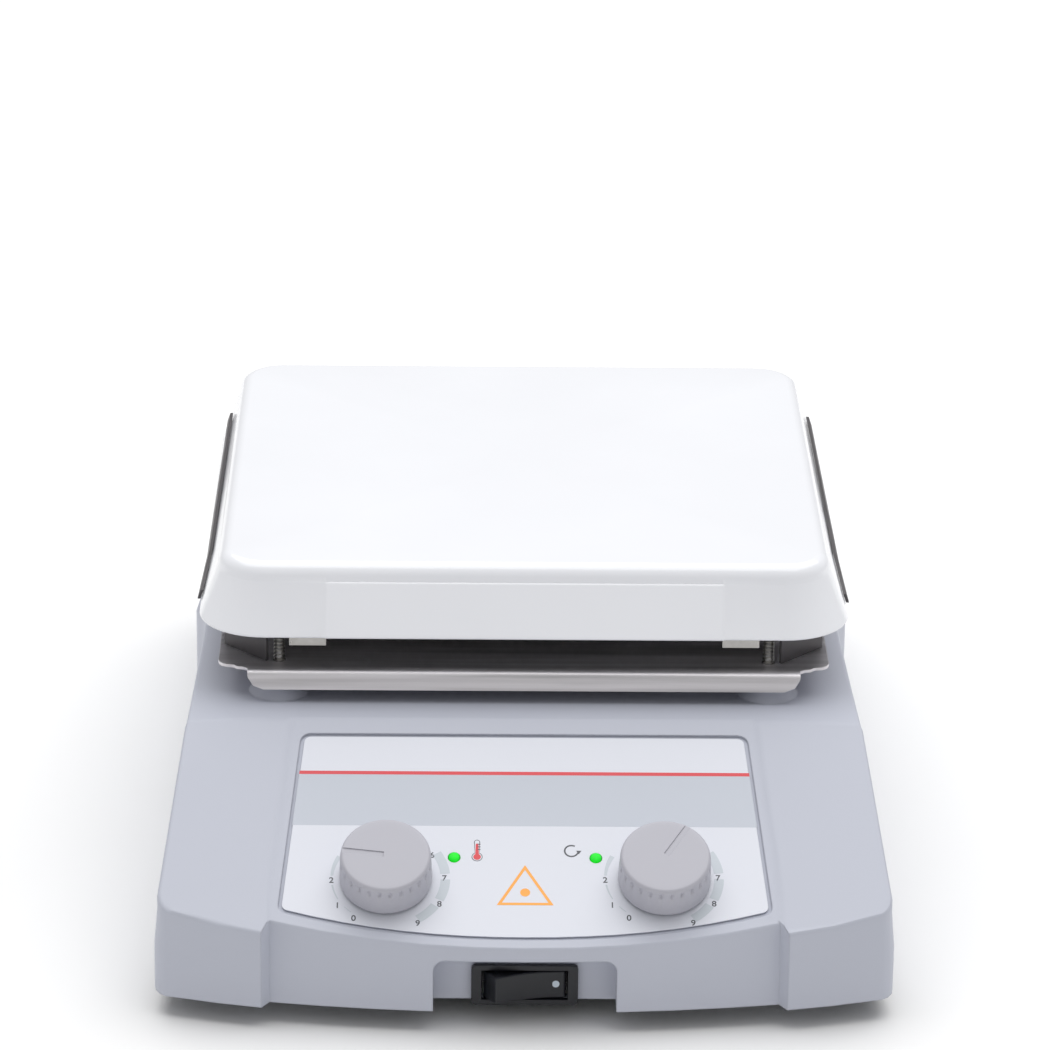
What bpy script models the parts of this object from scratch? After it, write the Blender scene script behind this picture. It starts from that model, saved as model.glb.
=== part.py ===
"""Ceramic-top hotplate magnetic stirrer, built as separate named pieces.

Axes: +X to the right of someone facing the controls, +Y to the back, +Z up.
The origin is under the middle of the housing, on the bench.
"""

import math

import bmesh
import bpy
from mathutils import Matrix, Vector

MM = 0.001

# ---------------------------------------------------------------- driving dimensions
GAP = 0.3 * MM  # clearance between pieces that touch

BODY_LENGTH = 330.0 * MM
BODY_BOTTOM = 7.0 * MM  # lower rim of the housing above the bench
DECK_Z = 69.0 * MM
DECK_EDGE_DROP = 1.0 * MM
DECK_BAND = 8.1 * MM  # a band this wide along each edge of the deck falls away
DECK_FALL = 7.6 * MM  # the deck is this much narrower than the body at each side
BODY_HALF_WIDTH = 111.3 * MM
WALL_FLARE = 1.1 * MM  # the side walls lean out this far towards the bottom
FLARE_Z = 34.0 * MM  # below this height
WALL = 2.6 * MM
EDGE_ROUND = 1.3 * MM

PANEL_TILT = math.radians(28.0)
PANEL_FRONT_Z = 27.8 * MM  # top of the front face on the centre line
WING_RISE = 1.0 * MM  # side wings of the panel stand this far above its middle
WING_X_FRONT = 78.4 * MM
WING_X_DECK = 73.0 * MM
BULGE = 6.4 * MM  # the front face bows out this far
BULGE_HALF_WIDTH = 76.0 * MM
BULGE_LEAN = 2.3 * MM  # towards its top edge the ends of the bowed face lean back this far
WING_LEAN = 1.0 * MM  # and the wings this far
LEAN_Z = (14.0 * MM, 33.0 * MM)
WING_STEP = 3.8 * MM  # wings stand this far in front of the bowed face
WING_SWEEP = 8.7 * MM  # wings fall back this far towards the sides

PLATE_FROM_REAR = 139.4 * MM  # centre of the heated plate to the rear of the housing
PLATE_TOP = 112.0 * MM
PLATE_TOP_HALF = 95.2 * MM
PLATE_RIM_HALF = 101.2 * MM
PLATE_HEIGHT = 21.8 * MM
PLATE_THICK = 6.0 * MM
PLATE_BLEND = 4.5 * MM
PLATE_CORNER = 21.0 * MM
PAD_HALF_WIDTH = 61.0 * MM
PAD_RISE = 0.5 * MM
PAD_EDGE = 1.2 * MM

HEATER_HALF = 74.0 * MM
HEATER_THICK = 1.6 * MM
INSULATION_HALF = 78.0 * MM
INSULATION_THICK = 8.0 * MM
PAN_HALF = 83.0 * MM
SHEET = 1.0 * MM

TRAY_TOP = 79.2 * MM
TRAY_HALF_WIDTH = 94.9 * MM
TRAY_HALF_DEPTH = 101.4 * MM
TRAY_LIP_HALF_WIDTH = 85.6 * MM
TRAY_LIP_DROP = 5.8 * MM

POST_X = 76.0 * MM
POST_Y = 91.5 * MM  # from the plate centre
POST_RADIUS = 1.9 * MM
POST_TOP = 97.0 * MM
POST_PITCH = 1.25 * MM
BOSS_RADIUS = 6.9 * MM

KNOB_X = 41.7 * MM
KNOB_V = 26.2 * MM  # up the panel from its front edge
KNOB_RADIUS = 13.9 * MM
KNOB_HEIGHT = 11.0 * MM
KNOB_NOTCHES = 26
LED_X = 21.3 * MM
LED_V = 34.2 * MM
LED_RADIUS = 1.65 * MM
SHAFT_RADIUS = 3.0 * MM

OVERLAY_TOP_HALF = 67.5 * MM
OVERLAY_BOTTOM_HALF = 73.0 * MM
OVERLAY_TOP_V = 80.5 * MM
OVERLAY_CORNER_V = 14.4 * MM
OVERLAY_CENTRE_V = 4.4 * MM
OVERLAY_CORNER = 2.4 * MM
OVERLAY_RECESS = 0.8 * MM
OVERLAY_MARGIN = 0.9 * MM  # the recess is this much larger all round
OVERLAY_THICK = 0.4 * MM

NOTCH_HALF_WIDTH = 27.3 * MM
NOTCH_TOP = 23.7 * MM
NOTCH_DEPTH = 9.5 * MM
NOTCH_CORNER = 3.6 * MM
BEZEL_WIDTH = 31.9 * MM
BEZEL_HEIGHT = 13.0 * MM
BEZEL_CENTRE_Z = 12.4 * MM
BEZEL_PROUD = 2.0 * MM
ROCKER_WIDTH = 25.2 * MM
ROCKER_HEIGHT = 9.0 * MM
ROCKER_TILT = math.radians(7.0)

FOOT_INSET = (23.3 * MM, 37.0 * MM)  # from the full width and length
FOOT_RADIUS = 9.0 * MM
BASE_Z = 8.0 * MM
BASE_THICK = 1.5 * MM

MOTOR_RADIUS = 24.0 * MM
MOTOR_HEIGHT = 34.0 * MM
MOTOR_SHAFT_RADIUS = 2.5 * MM
BRACKET_Z = 56.0 * MM
BRACKET_THICK = 1.6 * MM
BRACKET_HALF = (52.0 * MM, 34.0 * MM)
GROMMET_AT = (44.0 * MM, 26.0 * MM)
CARRIER_HALF_LENGTH = 36.0 * MM
CARRIER_HALF_WIDTH = 9.0 * MM
CARRIER_THICK = 3.5 * MM
MAGNET_RADIUS = 7.5 * MM
MAGNET_HEIGHT = 5.0 * MM
MAGNET_X = 26.0 * MM

INLET_X = -62.0 * MM
INLET_Z = 34.0 * MM
INLET_WIDTH = 27.0 * MM
INLET_HEIGHT = 20.0 * MM
FUSE_X = -26.0 * MM
FUSE_RADIUS = 6.5 * MM
BUSHING_RADIUS = 4.6 * MM
STRIP_THICK = 1.0 * MM  # the steel strips along the sides of the plate
STRIP_HEIGHT = 3.0 * MM
SHAFT_HOLE = 7.0 * MM

# ---------------------------------------------------------------- sizes that follow from them
DECK_HALF_WIDTH = BODY_HALF_WIDTH - DECK_FALL
DECK_BAND_X = DECK_HALF_WIDTH - DECK_BAND
FRONT_Y = -BODY_LENGTH / 2
REAR_Y = BODY_LENGTH / 2
PLATE_Y = REAR_Y - PLATE_FROM_REAR
SLOPE = math.tan(PANEL_TILT)
DECK_FRONT_Y = FRONT_Y + (DECK_Z - PANEL_FRONT_Z) / SLOPE
PLATE_UNDER = PLATE_TOP - PLATE_THICK
PLATE_RIM_Z = PLATE_TOP - PLATE_HEIGHT
PANEL = Matrix.Translation((0, FRONT_Y, PANEL_FRONT_Z)) @ Matrix.Rotation(PANEL_TILT, 4, "X")
POSTS = [(sx * POST_X, PLATE_Y + sy * POST_Y) for sy in (-1, 1) for sx in (-1, 1)]
BOSS_TOP = TRAY_TOP - SHEET - GAP
REAR_WALL = (REAR_Y - 2 * WALL, REAR_Y + 2 * MM)
BEZEL_HOLE = (
    BEZEL_WIDTH / 2 - 2.0 * MM,
    (BEZEL_CENTRE_Z - BEZEL_HEIGHT / 2 + 1.6 * MM, BEZEL_CENTRE_Z + BEZEL_HEIGHT / 2 - 1.6 * MM),
)
SCREW_AT = ((BODY_HALF_WIDTH - 41 * MM, FRONT_Y + 25 * MM), (BODY_HALF_WIDTH - 20 * MM, REAR_Y - 18 * MM))
BASE_SCREWS = [(sx * x, y) for x, y in SCREW_AT for sx in (-1, 1)]
SIDE_NAMES = {-1: "left", 1: "right"}
FOOT_AT = (BODY_HALF_WIDTH - FOOT_INSET[0], REAR_Y - FOOT_INSET[1])
FEET = [(sx * FOOT_AT[0], sy * FOOT_AT[1]) for sy in (-1, 1) for sx in (-1, 1)]
LEG_FOOT = ((93.6 * MM, 80.0 * MM), (80.0 * MM, 93.6 * MM))
STRIP_LINE = (  # (mm behind the middle of the plate, mm up) along the middle of a strip
    (69.4, 101.0),
    (-47.6, 97.5),
    (-69.1, 91.6),
)
KNOB_TURN = {"temperature": math.radians(83), "speed": math.radians(-32)}

SHELL_LOOK = ((0.50, 0.54, 0.60), 0.55)
STEEL_LOOK = ((0.56, 0.55, 0.53), 0.35, 1.0)
DARK_STEEL_LOOK = ((0.09, 0.085, 0.08), 0.5, 0.8)
BLACK_LOOK = ((0.02, 0.02, 0.022), 0.4)
RUBBER_LOOK = ((0.03, 0.03, 0.03), 0.85)
KNOB_LOOK = ((0.53, 0.52, 0.56), 0.5)
BRASS_LOOK = ((0.70, 0.55, 0.28), 0.35, 1.0)
BOARD_LOOK = ((0.02, 0.16, 0.07), 0.5)
MAGNET_LOOK = ((0.10, 0.10, 0.11), 0.45, 0.5)


# ---------------------------------------------------------------- helpers
def clear_scene():
    for obj in list(bpy.data.objects):
        bpy.data.objects.remove(obj, do_unlink=True)


def material(name, colour, roughness, metallic=0.0):
    made = bpy.data.materials.new(name)
    made.use_nodes = True
    shader = made.node_tree.nodes["Principled BSDF"]
    shader.inputs["Base Color"].default_value = (*colour, 1.0)
    shader.inputs["Roughness"].default_value = roughness
    shader.inputs["Metallic"].default_value = metallic
    return made


def piece(name, shape, look, place=None, smooth=None):
    """An object from a (points, faces) shape. place is its matrix; smooth is an angle in degrees."""
    points, faces = shape
    mesh = bpy.data.meshes.new(name)
    mesh.from_pydata([tuple(p) for p in points], [], faces)
    work = bmesh.new()
    work.from_mesh(mesh)
    bmesh.ops.recalc_face_normals(work, faces=work.faces)
    work.to_mesh(mesh)
    work.free()
    obj = bpy.data.objects.new(name, mesh)
    bpy.context.scene.collection.objects.link(obj)
    if place is not None:
        obj.matrix_world = place
    if look is not None:
        mesh.materials.append(material(name, *look))
    if smooth is not None:
        mesh.shade_smooth()
        mesh.set_sharp_from_angle(angle=math.radians(smooth))
    return obj


def helper(name, shape, place=None):
    """A cutter or an addition: it shapes another piece and isn't one itself."""
    obj = piece(name, shape, None, place)
    obj.hide_render = True
    obj.display_type = "WIRE"
    return obj


def combine(target, operation, other):
    step = target.modifiers.new(other.name, "BOOLEAN")
    step.operation = operation
    step.solver = "EXACT"
    step.object = other


def joined(*shapes):
    """Several shapes in one mesh. They don't touch each other."""
    points = []
    faces = []
    for more_points, more_faces in shapes:
        start = len(points)
        points += list(more_points)
        faces += [[start + i for i in face] for face in more_faces]
    return points, faces


def moved(shape, matrix):
    points, faces = shape
    return [matrix @ Vector(p) for p in points], faces


def shifted(shape, x=0.0, y=0.0, z=0.0):
    return moved(shape, Matrix.Translation((x, y, z)))


def turned(shape, angle, axis):
    return moved(shape, Matrix.Rotation(angle, 4, axis))


def loft(rings):
    """Rings of points, each ring the same length, joined in order and capped at both ends."""
    count = len(rings[0])
    points = [p for ring in rings for p in ring]
    faces = [list(range(count))[::-1], [len(points) - count + i for i in range(count)]]
    for row in range(len(rings) - 1):
        for i in range(count):
            j = (i + 1) % count
            a = row * count
            faces.append([a + i, a + j, a + count + j, a + count + i])
    return points, faces


def prism(outline, low, high):
    return loft([[(x, y, low) for x, y in outline], [(x, y, high) for x, y in outline]])


def box(x0, x1, y0, y1, z0, z1):
    return prism([(x0, y0), (x1, y0), (x1, y1), (x0, y1)], z0, z1)


def block(width, depth, height, x=0.0, y=0.0, z=0.0):
    """A box by its size, with z at its underside."""
    return box(x - width / 2, x + width / 2, y - depth / 2, y + depth / 2, z, z + height)


def circle(radius, count, x=0.0, y=0.0):
    turns = [2 * math.pi * i / count for i in range(count)]
    return [(x + radius * math.cos(t), y + radius * math.sin(t)) for t in turns]


def disc(radius, low, high, count=24, x=0.0, y=0.0):
    return prism(circle(radius, count, x, y), low, high)


def lathe(profile, count=24):
    """A solid turned from (radius, z) points. The profile starts and ends off the axis; ends are capped."""
    return loft([[(x, y, z) for x, y in circle(r, count)] for r, z in profile])


def rounded_rectangle(half_x, half_y, radius, steps=6):
    outline = []
    for side_x, side_y, start in ((1, 1, 0), (-1, 1, 90), (-1, -1, 180), (1, -1, 270)):
        cx = side_x * (half_x - radius)
        cy = side_y * (half_y - radius)
        for i in range(steps + 1):
            turn = math.radians(start + 90 * i / steps)
            outline.append((cx + radius * math.cos(turn), cy + radius * math.sin(turn)))
    return outline


def rounded_box(half_x, half_y, radius, low, high, steps=4):
    return prism(rounded_rectangle(half_x, half_y, radius, steps), low, high)


def between(value, table):
    """Linear reading of a table of (position, value) rows in rising order."""
    if value <= table[0][0]:
        return table[0][1]
    for (a, va), (b, vb) in zip(table, table[1:]):
        if value <= b:
            return va + (vb - va) * (value - a) / (b - a)
    return table[-1][1]


def smoothstep(low, high, value):
    t = min(max((value - low) / (high - low), 0.0), 1.0)
    return t * t * (3 - 2 * t)


# ---------------------------------------------------------------- housing
FRONT_COLUMNS = [0, 15, 30, 45, 60, 70, 76, 77.2, 78.4, 92, 105]  # at the stated full width
DECK_COLUMNS = [0, 15, 30, 45, 58, 66, 70, 71.5, 73, 88, 95]
COLUMN_SCALE = BODY_HALF_WIDTH / (111.3 * MM)
SIDE_ROWS = [17, 30, 52, 74]  # mm behind the front
WAIST_ROWS = [-86, -46, -36, -31, -26, -21, -10, 20, 60, 95, 125.4]  # mm behind the middle of the plate
SIDE_PLAN = (  # (mm behind the front, mm in from the full width) along the top edge
    (0, 0.9),
    (13, 1.1),
    (77, 7.5),
    (124, 8.8),
)
WAIST_PLAN = (  # (mm behind the middle of the plate, mm in from the full width)
    (-66, 8.8),
    (-38, 9.3),
    (-34, 9.2),
    (-30, 8.4),
    (-26, 6.6),
    (-22, 5.7),
    (-19, 5.8),
    (-5, 7.0),
    (20, 7.9),
    (65, 8.7),
    (125, 9.5),
)


def side_x(y, z):
    """Half the width of the housing: a waist behind the panel, then shoulders that taper to the rear."""
    if y < PLATE_Y - 55 * MM:
        inset = between((y - FRONT_Y) / MM, SIDE_PLAN)
    else:
        inset = between((y - PLATE_Y) / MM, WAIST_PLAN)
    lean = smoothstep(FLARE_Z, FLARE_Z - 14 * MM, z)
    return BODY_HALF_WIDTH - inset * MM + WALL_FLARE * lean


def front_y(x, z):
    """The front in plan at one height: a bowed middle face between two wings that stand in front of it."""
    away = abs(x)
    lean = smoothstep(*LEAN_Z, z)
    middle = BULGE + BULGE_LEAN * lean
    middle *= (min(away, BULGE_HALF_WIDTH) / BULGE_HALF_WIDTH) ** 2.1
    wing = BULGE - WING_STEP + WING_LEAN * lean
    outer = max(away - WING_X_FRONT, 0) / (BODY_HALF_WIDTH - WING_X_FRONT)
    wing += WING_SWEEP * outer**1.2
    share = smoothstep(BULGE_HALF_WIDTH, WING_X_FRONT, away)
    return FRONT_Y + (1 - share) * middle + share * wing


def front_inside_y(x, z, shrink):
    """The same front, moved in by shrink."""
    depths = []
    for share in (-1.0, -0.7, 0.0, 0.7, 1.0):
        depths.append(front_y(x + share * shrink, z) + shrink * math.sqrt(1 - share**2))
    return max(depths)


def top_z(x, y):
    away = abs(x)
    deck = DECK_Z - DECK_EDGE_DROP * max(away - DECK_BAND_X, 0) / (DECK_HALF_WIDTH - DECK_BAND_X)
    slope = PANEL_FRONT_Z + (y - FRONT_Y) * SLOPE
    share = max(min((y - FRONT_Y - BULGE) / (DECK_FRONT_Y - FRONT_Y - BULGE), 1), 0)
    wing_x = WING_X_FRONT + (WING_X_DECK - WING_X_FRONT) * share
    slope += WING_RISE * smoothstep(wing_x - 3.2 * MM, wing_x, away) / math.cos(PANEL_TILT)
    return min(deck, slope)


def housing_solid(inset, drop, low):
    """The housing filled in, shrunk by inset at the sides and by drop at the top."""
    rows = [FRONT_Y + y * MM for y in SIDE_ROWS]
    rows += [DECK_FRONT_Y - 0.6 * MM, DECK_FRONT_Y + 0.6 * MM]
    rows += [PLATE_Y + y * MM for y in WAIST_ROWS]
    columns = len(FRONT_COLUMNS)
    side_of = [-1] * (columns - 1) + [1] * columns
    index_of = list(range(columns - 1, 0, -1)) + list(range(columns))

    def column_x(j, y):
        share = smoothstep(FRONT_Y + BULGE, DECK_FRONT_Y, y)
        i = index_of[j]
        x = (1 - share) * FRONT_COLUMNS[i] + share * DECK_COLUMNS[i]
        return side_of[j] * x * COLUMN_SCALE * MM

    keys = [("front", 0, j) for j in range(len(index_of))]
    keys += [("front_arc", 1, k) for k in range(1, 4)]
    keys += [("side", 1, i) for i in range(len(rows))]
    keys += [("rear_arc", 1, k) for k in range(1, 4)]
    keys += [("rear", 0, j) for j in reversed(range(len(index_of)))]
    keys += [("rear_arc", -1, k) for k in (3, 2, 1)]
    keys += [("side", -1, i) for i in reversed(range(len(rows)))]
    keys += [("front_arc", -1, k) for k in (3, 2, 1)]

    def plan(key, z, shrink):
        kind, side, i = key
        if kind == "side":
            return side * (side_x(rows[i], z) - shrink), rows[i]
        if kind == "front":
            x = column_x(i, FRONT_Y)
            return x * (1 - shrink / BODY_HALF_WIDTH), front_inside_y(x, z, shrink)
        if kind == "rear":
            x = column_x(i, REAR_Y)
            return x * (1 - shrink / BODY_HALF_WIDTH), REAR_Y - shrink
        turn = math.radians(90 * i / 4)
        if kind == "front_arc":
            x0 = FRONT_COLUMNS[-1] * COLUMN_SCALE * MM
            y0 = front_y(x0, z)
            x1 = side_x(rows[0], z)
            x = x0 + (x1 - x0) * math.sin(turn) - shrink
            return side * x, y0 + (rows[0] - y0) * (1 - math.cos(turn)) + shrink * math.cos(turn)
        x0 = DECK_COLUMNS[-1] * COLUMN_SCALE * MM
        x1 = side_x(rows[-1], z)
        x = x0 + (x1 - x0) * math.cos(turn) - shrink * math.cos(turn)
        return side * x, rows[-1] + (REAR_Y - shrink - rows[-1]) * math.sin(turn)

    points = []
    rings = []
    tops = []
    for key in keys:
        x, y = plan(key, DECK_Z, inset + EDGE_ROUND)
        z = top_z(x, y)
        x, y = plan(key, z, inset + EDGE_ROUND)
        tops.append(top_z(x, y) - drop)
    rounding = ((1.0, 0.0), (0.32, 0.32), (0.0, 1.0))
    shares = (0.12, 0.3, 0.5, 0.7, 0.85, 1.0)
    for out, down in rounding:
        ring = []
        for key, top in zip(keys, tops):
            z = top - down * EDGE_ROUND
            ring.append((*plan(key, z, inset + out * EDGE_ROUND), z))
        rings.append(ring)
    for share in shares:
        ring = []
        for key, top in zip(keys, tops):
            start = top - EDGE_ROUND
            z = start + (low - start) * share
            ring.append((*plan(key, z, inset), z))
        rings.append(ring)
    points = [p for ring in rings for p in ring]
    count = len(keys)
    faces = []
    for row in range(len(rings) - 1):
        for i in range(count):
            j = (i + 1) % count
            a = row * count
            faces.append([a + i, a + j, a + count + j, a + count + i])
    faces.append([(len(rings) - 1) * count + i for i in range(count)])
    at = {key: i for i, key in enumerate(keys)}
    grid = []
    for i, y in enumerate(rows):
        line = [at[("side", -1, i)]]
        for j in range(1, len(index_of) - 1):
            x = column_x(j, y)
            line.append(len(points))
            points.append((x, y, top_z(x, y) - drop))
        line.append(at[("side", 1, i)])
        grid.append(line)
    for a, b in zip(grid, grid[1:]):
        for j in range(len(a) - 1):
            faces.append([a[j], a[j + 1], b[j + 1], b[j]])
    last = len(index_of) - 1
    for kind, line in (("front", grid[0]), ("rear", grid[-1])):
        edge = [at[(kind, 0, j)] for j in range(len(index_of))]
        for j in range(1, last - 1):
            faces.append([edge[j], edge[j + 1], line[j + 1], line[j]])
        arc = kind + "_arc"
        order = (1, 2, 3) if kind == "front" else (3, 2, 1)
        left_arc = [at[(arc, -1, k)] for k in order[::-1]]
        right_arc = [at[(arc, 1, k)] for k in order]
        faces.append([edge[0], edge[1], line[1], line[0]] + left_arc)
        faces.append([edge[last - 1], edge[last]] + right_arc + [line[last], line[last - 1]])
    return points, faces


def rounded_corner(before, corner, after, radius, steps=4):
    """Points of an arc that rounds a convex corner of an outline."""
    corner = Vector(corner)
    one = (Vector(before) - corner).normalized()
    two = (Vector(after) - corner).normalized()
    half = one.angle(two) / 2
    centre = corner + (one + two).normalized() * radius / math.sin(half)
    start = corner + one * radius / math.tan(half)
    turn = math.pi - 2 * half
    if one.cross(two) > 0:
        turn = -turn
    arc = []
    for i in range(steps + 1):
        arc.append(tuple(centre + Matrix.Rotation(turn * i / steps, 2) @ (start - centre)))
    return arc


def overlay_outline(shrink):
    """The label's outline on the panel: straight top and sides, and a bowed lower edge."""
    top = OVERLAY_TOP_V - shrink
    half_top = OVERLAY_TOP_HALF - shrink
    half_low = OVERLAY_BOTTOM_HALF - shrink
    corner = OVERLAY_CORNER_V + shrink
    centre = OVERLAY_CENTRE_V + shrink
    radius = OVERLAY_CORNER - shrink
    lower = []
    for i in range(-8, 9):
        share = i / 8
        lower.append((half_low * share, centre + (corner - centre) * abs(share) ** 2.2))
    low_left, low_right = lower[0], lower[-1]
    outline = lower[1:-1]
    outline += rounded_corner(lower[-2], low_right, (half_top, top), radius)
    outline += rounded_corner(low_right, (half_top, top), (-half_top, top), radius)
    outline += rounded_corner((half_top, top), (-half_top, top), low_left, radius)
    outline += rounded_corner((-half_top, top), low_left, lower[1], radius)
    return outline


def on_panel(shape, x=0.0, v=0.0):
    return moved(shape, PANEL @ Matrix.Translation((x, v, 0)))


def build_housing():
    shell = piece("housing", housing_solid(0, 0, BODY_BOTTOM), SHELL_LOOK)
    combine(shell, "DIFFERENCE", helper("cut_cavity", housing_solid(WALL, WALL, BODY_BOTTOM - 2 * MM)))
    half = NOTCH_HALF_WIDTH + WALL
    notch_back = FRONT_Y + NOTCH_DEPTH
    pocket = box(-half, half, FRONT_Y + 2.0 * MM, notch_back + WALL, BODY_BOTTOM, NOTCH_TOP + WALL)
    additions = [pocket]
    for x, y in POSTS:
        profile = [
            (BOSS_RADIUS + 3.2 * MM, DECK_Z - 1.2 * MM),
            (BOSS_RADIUS + 2.6 * MM, DECK_Z + 0.1 * MM),
            (BOSS_RADIUS + 1.4 * MM, DECK_Z + 1.3 * MM),
            (BOSS_RADIUS, DECK_Z + 3.0 * MM),
            (BOSS_RADIUS - 1.0 * MM, BOSS_TOP - 1.8 * MM),
            (BOSS_RADIUS - 2.4 * MM, BOSS_TOP),
        ]
        additions.append(shifted(lathe(profile, 28), x, y))
    for x, y in BASE_SCREWS:
        under_panel = PANEL_FRONT_Z + (y - 4.2 * MM - FRONT_Y) * SLOPE
        top = min(DECK_Z, under_panel) - 1.2 * MM
        additions.append(shifted(disc(4.2 * MM, BASE_Z + BASE_THICK + GAP, top, 16), x, y))
    combine(shell, "UNION", helper("add_bosses", joined(*additions)))
    cuts = []
    outline = []
    for x, z in rounded_rectangle(NOTCH_HALF_WIDTH, NOTCH_TOP - BODY_BOTTOM, NOTCH_CORNER, 5):
        outline.append((x, z + BODY_BOTTOM))
    notch = prism(outline, -notch_back, 10 * MM - FRONT_Y)
    cuts.append(turned(notch, math.pi / 2, "X"))
    recess = on_panel(prism(overlay_outline(-OVERLAY_MARGIN), -OVERLAY_RECESS, 4 * MM))
    combine(shell, "DIFFERENCE", helper("cut_recess", recess))
    for side in (-1, 1):
        cuts.append(on_panel(disc(BUSHING_RADIUS + GAP, -8 * MM, 2 * MM, 20), side * KNOB_X, KNOB_V))
        cuts.append(on_panel(disc(LED_RADIUS + GAP, -8 * MM, 2 * MM, 16), side * LED_X, LED_V))
    for x, y in POSTS:
        cuts.append(disc(POST_RADIUS + GAP, BOSS_TOP - 6 * MM, BOSS_TOP + 1 * MM, 16, x, y))
    for x, y in BASE_SCREWS:
        cuts.append(disc(1.8 * MM, BASE_Z, BASE_Z + 14 * MM, 12, x, y))
    cuts.append(disc(SHAFT_HOLE, DECK_Z - 6 * MM, DECK_Z + 3 * MM, 24, 0, PLATE_Y))
    combine(shell, "DIFFERENCE", helper("cut_openings", joined(*cuts)))
    fuse_hole = turned(disc(FUSE_RADIUS + GAP, -REAR_WALL[1], -REAR_WALL[0]), math.pi / 2, "X")
    rear = [
        box(
            INLET_X - INLET_WIDTH / 2 - GAP,
            INLET_X + INLET_WIDTH / 2 + GAP,
            *REAR_WALL,
            INLET_Z - INLET_HEIGHT / 2 - GAP,
            INLET_Z + INLET_HEIGHT / 2 + GAP,
        ),
        shifted(fuse_hole, FUSE_X, 0, INLET_Z),
        box(-BEZEL_HOLE[0], BEZEL_HOLE[0], notch_back - 1 * MM, notch_back + 2 * WALL, *BEZEL_HOLE[1]),
    ]
    for i in range(7):
        x = 22 * MM + i * 10 * MM
        rear.append(box(x, x + 4 * MM, *REAR_WALL, 24 * MM, 46 * MM))
    combine(shell, "DIFFERENCE", helper("cut_rear", joined(*rear)))
    shell.data.shade_smooth()
    shell.data.set_sharp_from_angle(angle=math.radians(35))


def corner_name(x, y, middle=0.0):
    return f"{'front' if y < middle else 'rear'}_{'left' if x < 0 else 'right'}"


def build_base():
    half_x = DECK_HALF_WIDTH - WALL - 2.6 * MM
    front = FRONT_Y + BULGE + WALL + 4 * MM
    rear = REAR_Y - WALL - 1.0 * MM
    clip = 12 * MM
    notch = (NOTCH_HALF_WIDTH + WALL + 1 * MM, FRONT_Y + NOTCH_DEPTH + 24 * MM)
    outline = [
        (notch[0], front),
        (half_x - clip, front),
        (half_x, front + clip),
        (half_x, rear - clip),
        (half_x - clip, rear),
        (-half_x + clip, rear),
        (-half_x, rear - clip),
        (-half_x, front + clip),
        (-half_x + clip, front),
        (-notch[0], front),
        (-notch[0], notch[1]),
        (notch[0], notch[1]),
    ]
    base = piece("base_plate", prism(outline, BASE_Z, BASE_Z + BASE_THICK), STEEL_LOOK)
    slots = []
    for side in (-1, 1):
        for i in range(8):
            y = PLATE_Y - 6 * MM + i * 12 * MM
            slots.append(block(34 * MM, 4 * MM, 6 * MM, side * 62 * MM, y, BASE_Z - 2 * MM))
    for x, y in BASE_SCREWS:
        slots.append(disc(2.0 * MM + GAP, BASE_Z - 2 * MM, BASE_Z + 4 * MM, 16, x, y))
    for x, y in FEET:
        slots.append(disc(3.0 * MM + GAP, BASE_Z - 2 * MM, BASE_Z + 4 * MM, 16, x, y))
    combine(base, "DIFFERENCE", helper("cut_base", joined(*slots)))
    foot = [
        (FOOT_RADIUS - 1.0 * MM, 0),
        (FOOT_RADIUS, 1.0 * MM),
        (FOOT_RADIUS, BASE_Z - GAP - 0.8 * MM),
        (FOOT_RADIUS - 0.8 * MM, BASE_Z - GAP),
        (3.0 * MM, BASE_Z - GAP),
        (3.0 * MM, BASE_Z + BASE_THICK + GAP),
        (4.0 * MM, BASE_Z + BASE_THICK + GAP),
        (2.6 * MM, BASE_Z + BASE_THICK + 2.4 * MM),
    ]
    for x, y in FEET:
        place = Matrix.Translation((x, y, 0))
        piece("foot_" + corner_name(x, y), lathe(foot, 24), RUBBER_LOOK, place, 40)
    screw = [
        (3.2 * MM, BASE_Z - 1.8 * MM),
        (3.6 * MM, BASE_Z - 1.2 * MM),
        (3.6 * MM, BASE_Z - GAP),
        (1.5 * MM, BASE_Z - GAP),
        (1.5 * MM, BASE_Z + 12 * MM),
        (0.9 * MM, BASE_Z + 13 * MM),
    ]
    for x, y in BASE_SCREWS:
        place = Matrix.Translation((x, y, 0))
        piece("base_screw_" + corner_name(x, y), lathe(screw, 14), STEEL_LOOK, place, 40)


# ---------------------------------------------------------------- heated plate and what holds it
def plate_ring(half, radius, z, rise=0.0):
    """One level of the plate, with the shallow raised pad in the middle of its front."""
    outline = rounded_rectangle(half, half, radius, 7)
    pad = [(-PAD_HALF_WIDTH - PAD_EDGE, -half), (-PAD_HALF_WIDTH, -half - rise)]
    pad += [(-x, y) for x, y in reversed(pad)]
    outline = outline[:24] + pad + outline[24:]
    return [(x, y, z) for x, y in outline]


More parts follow.
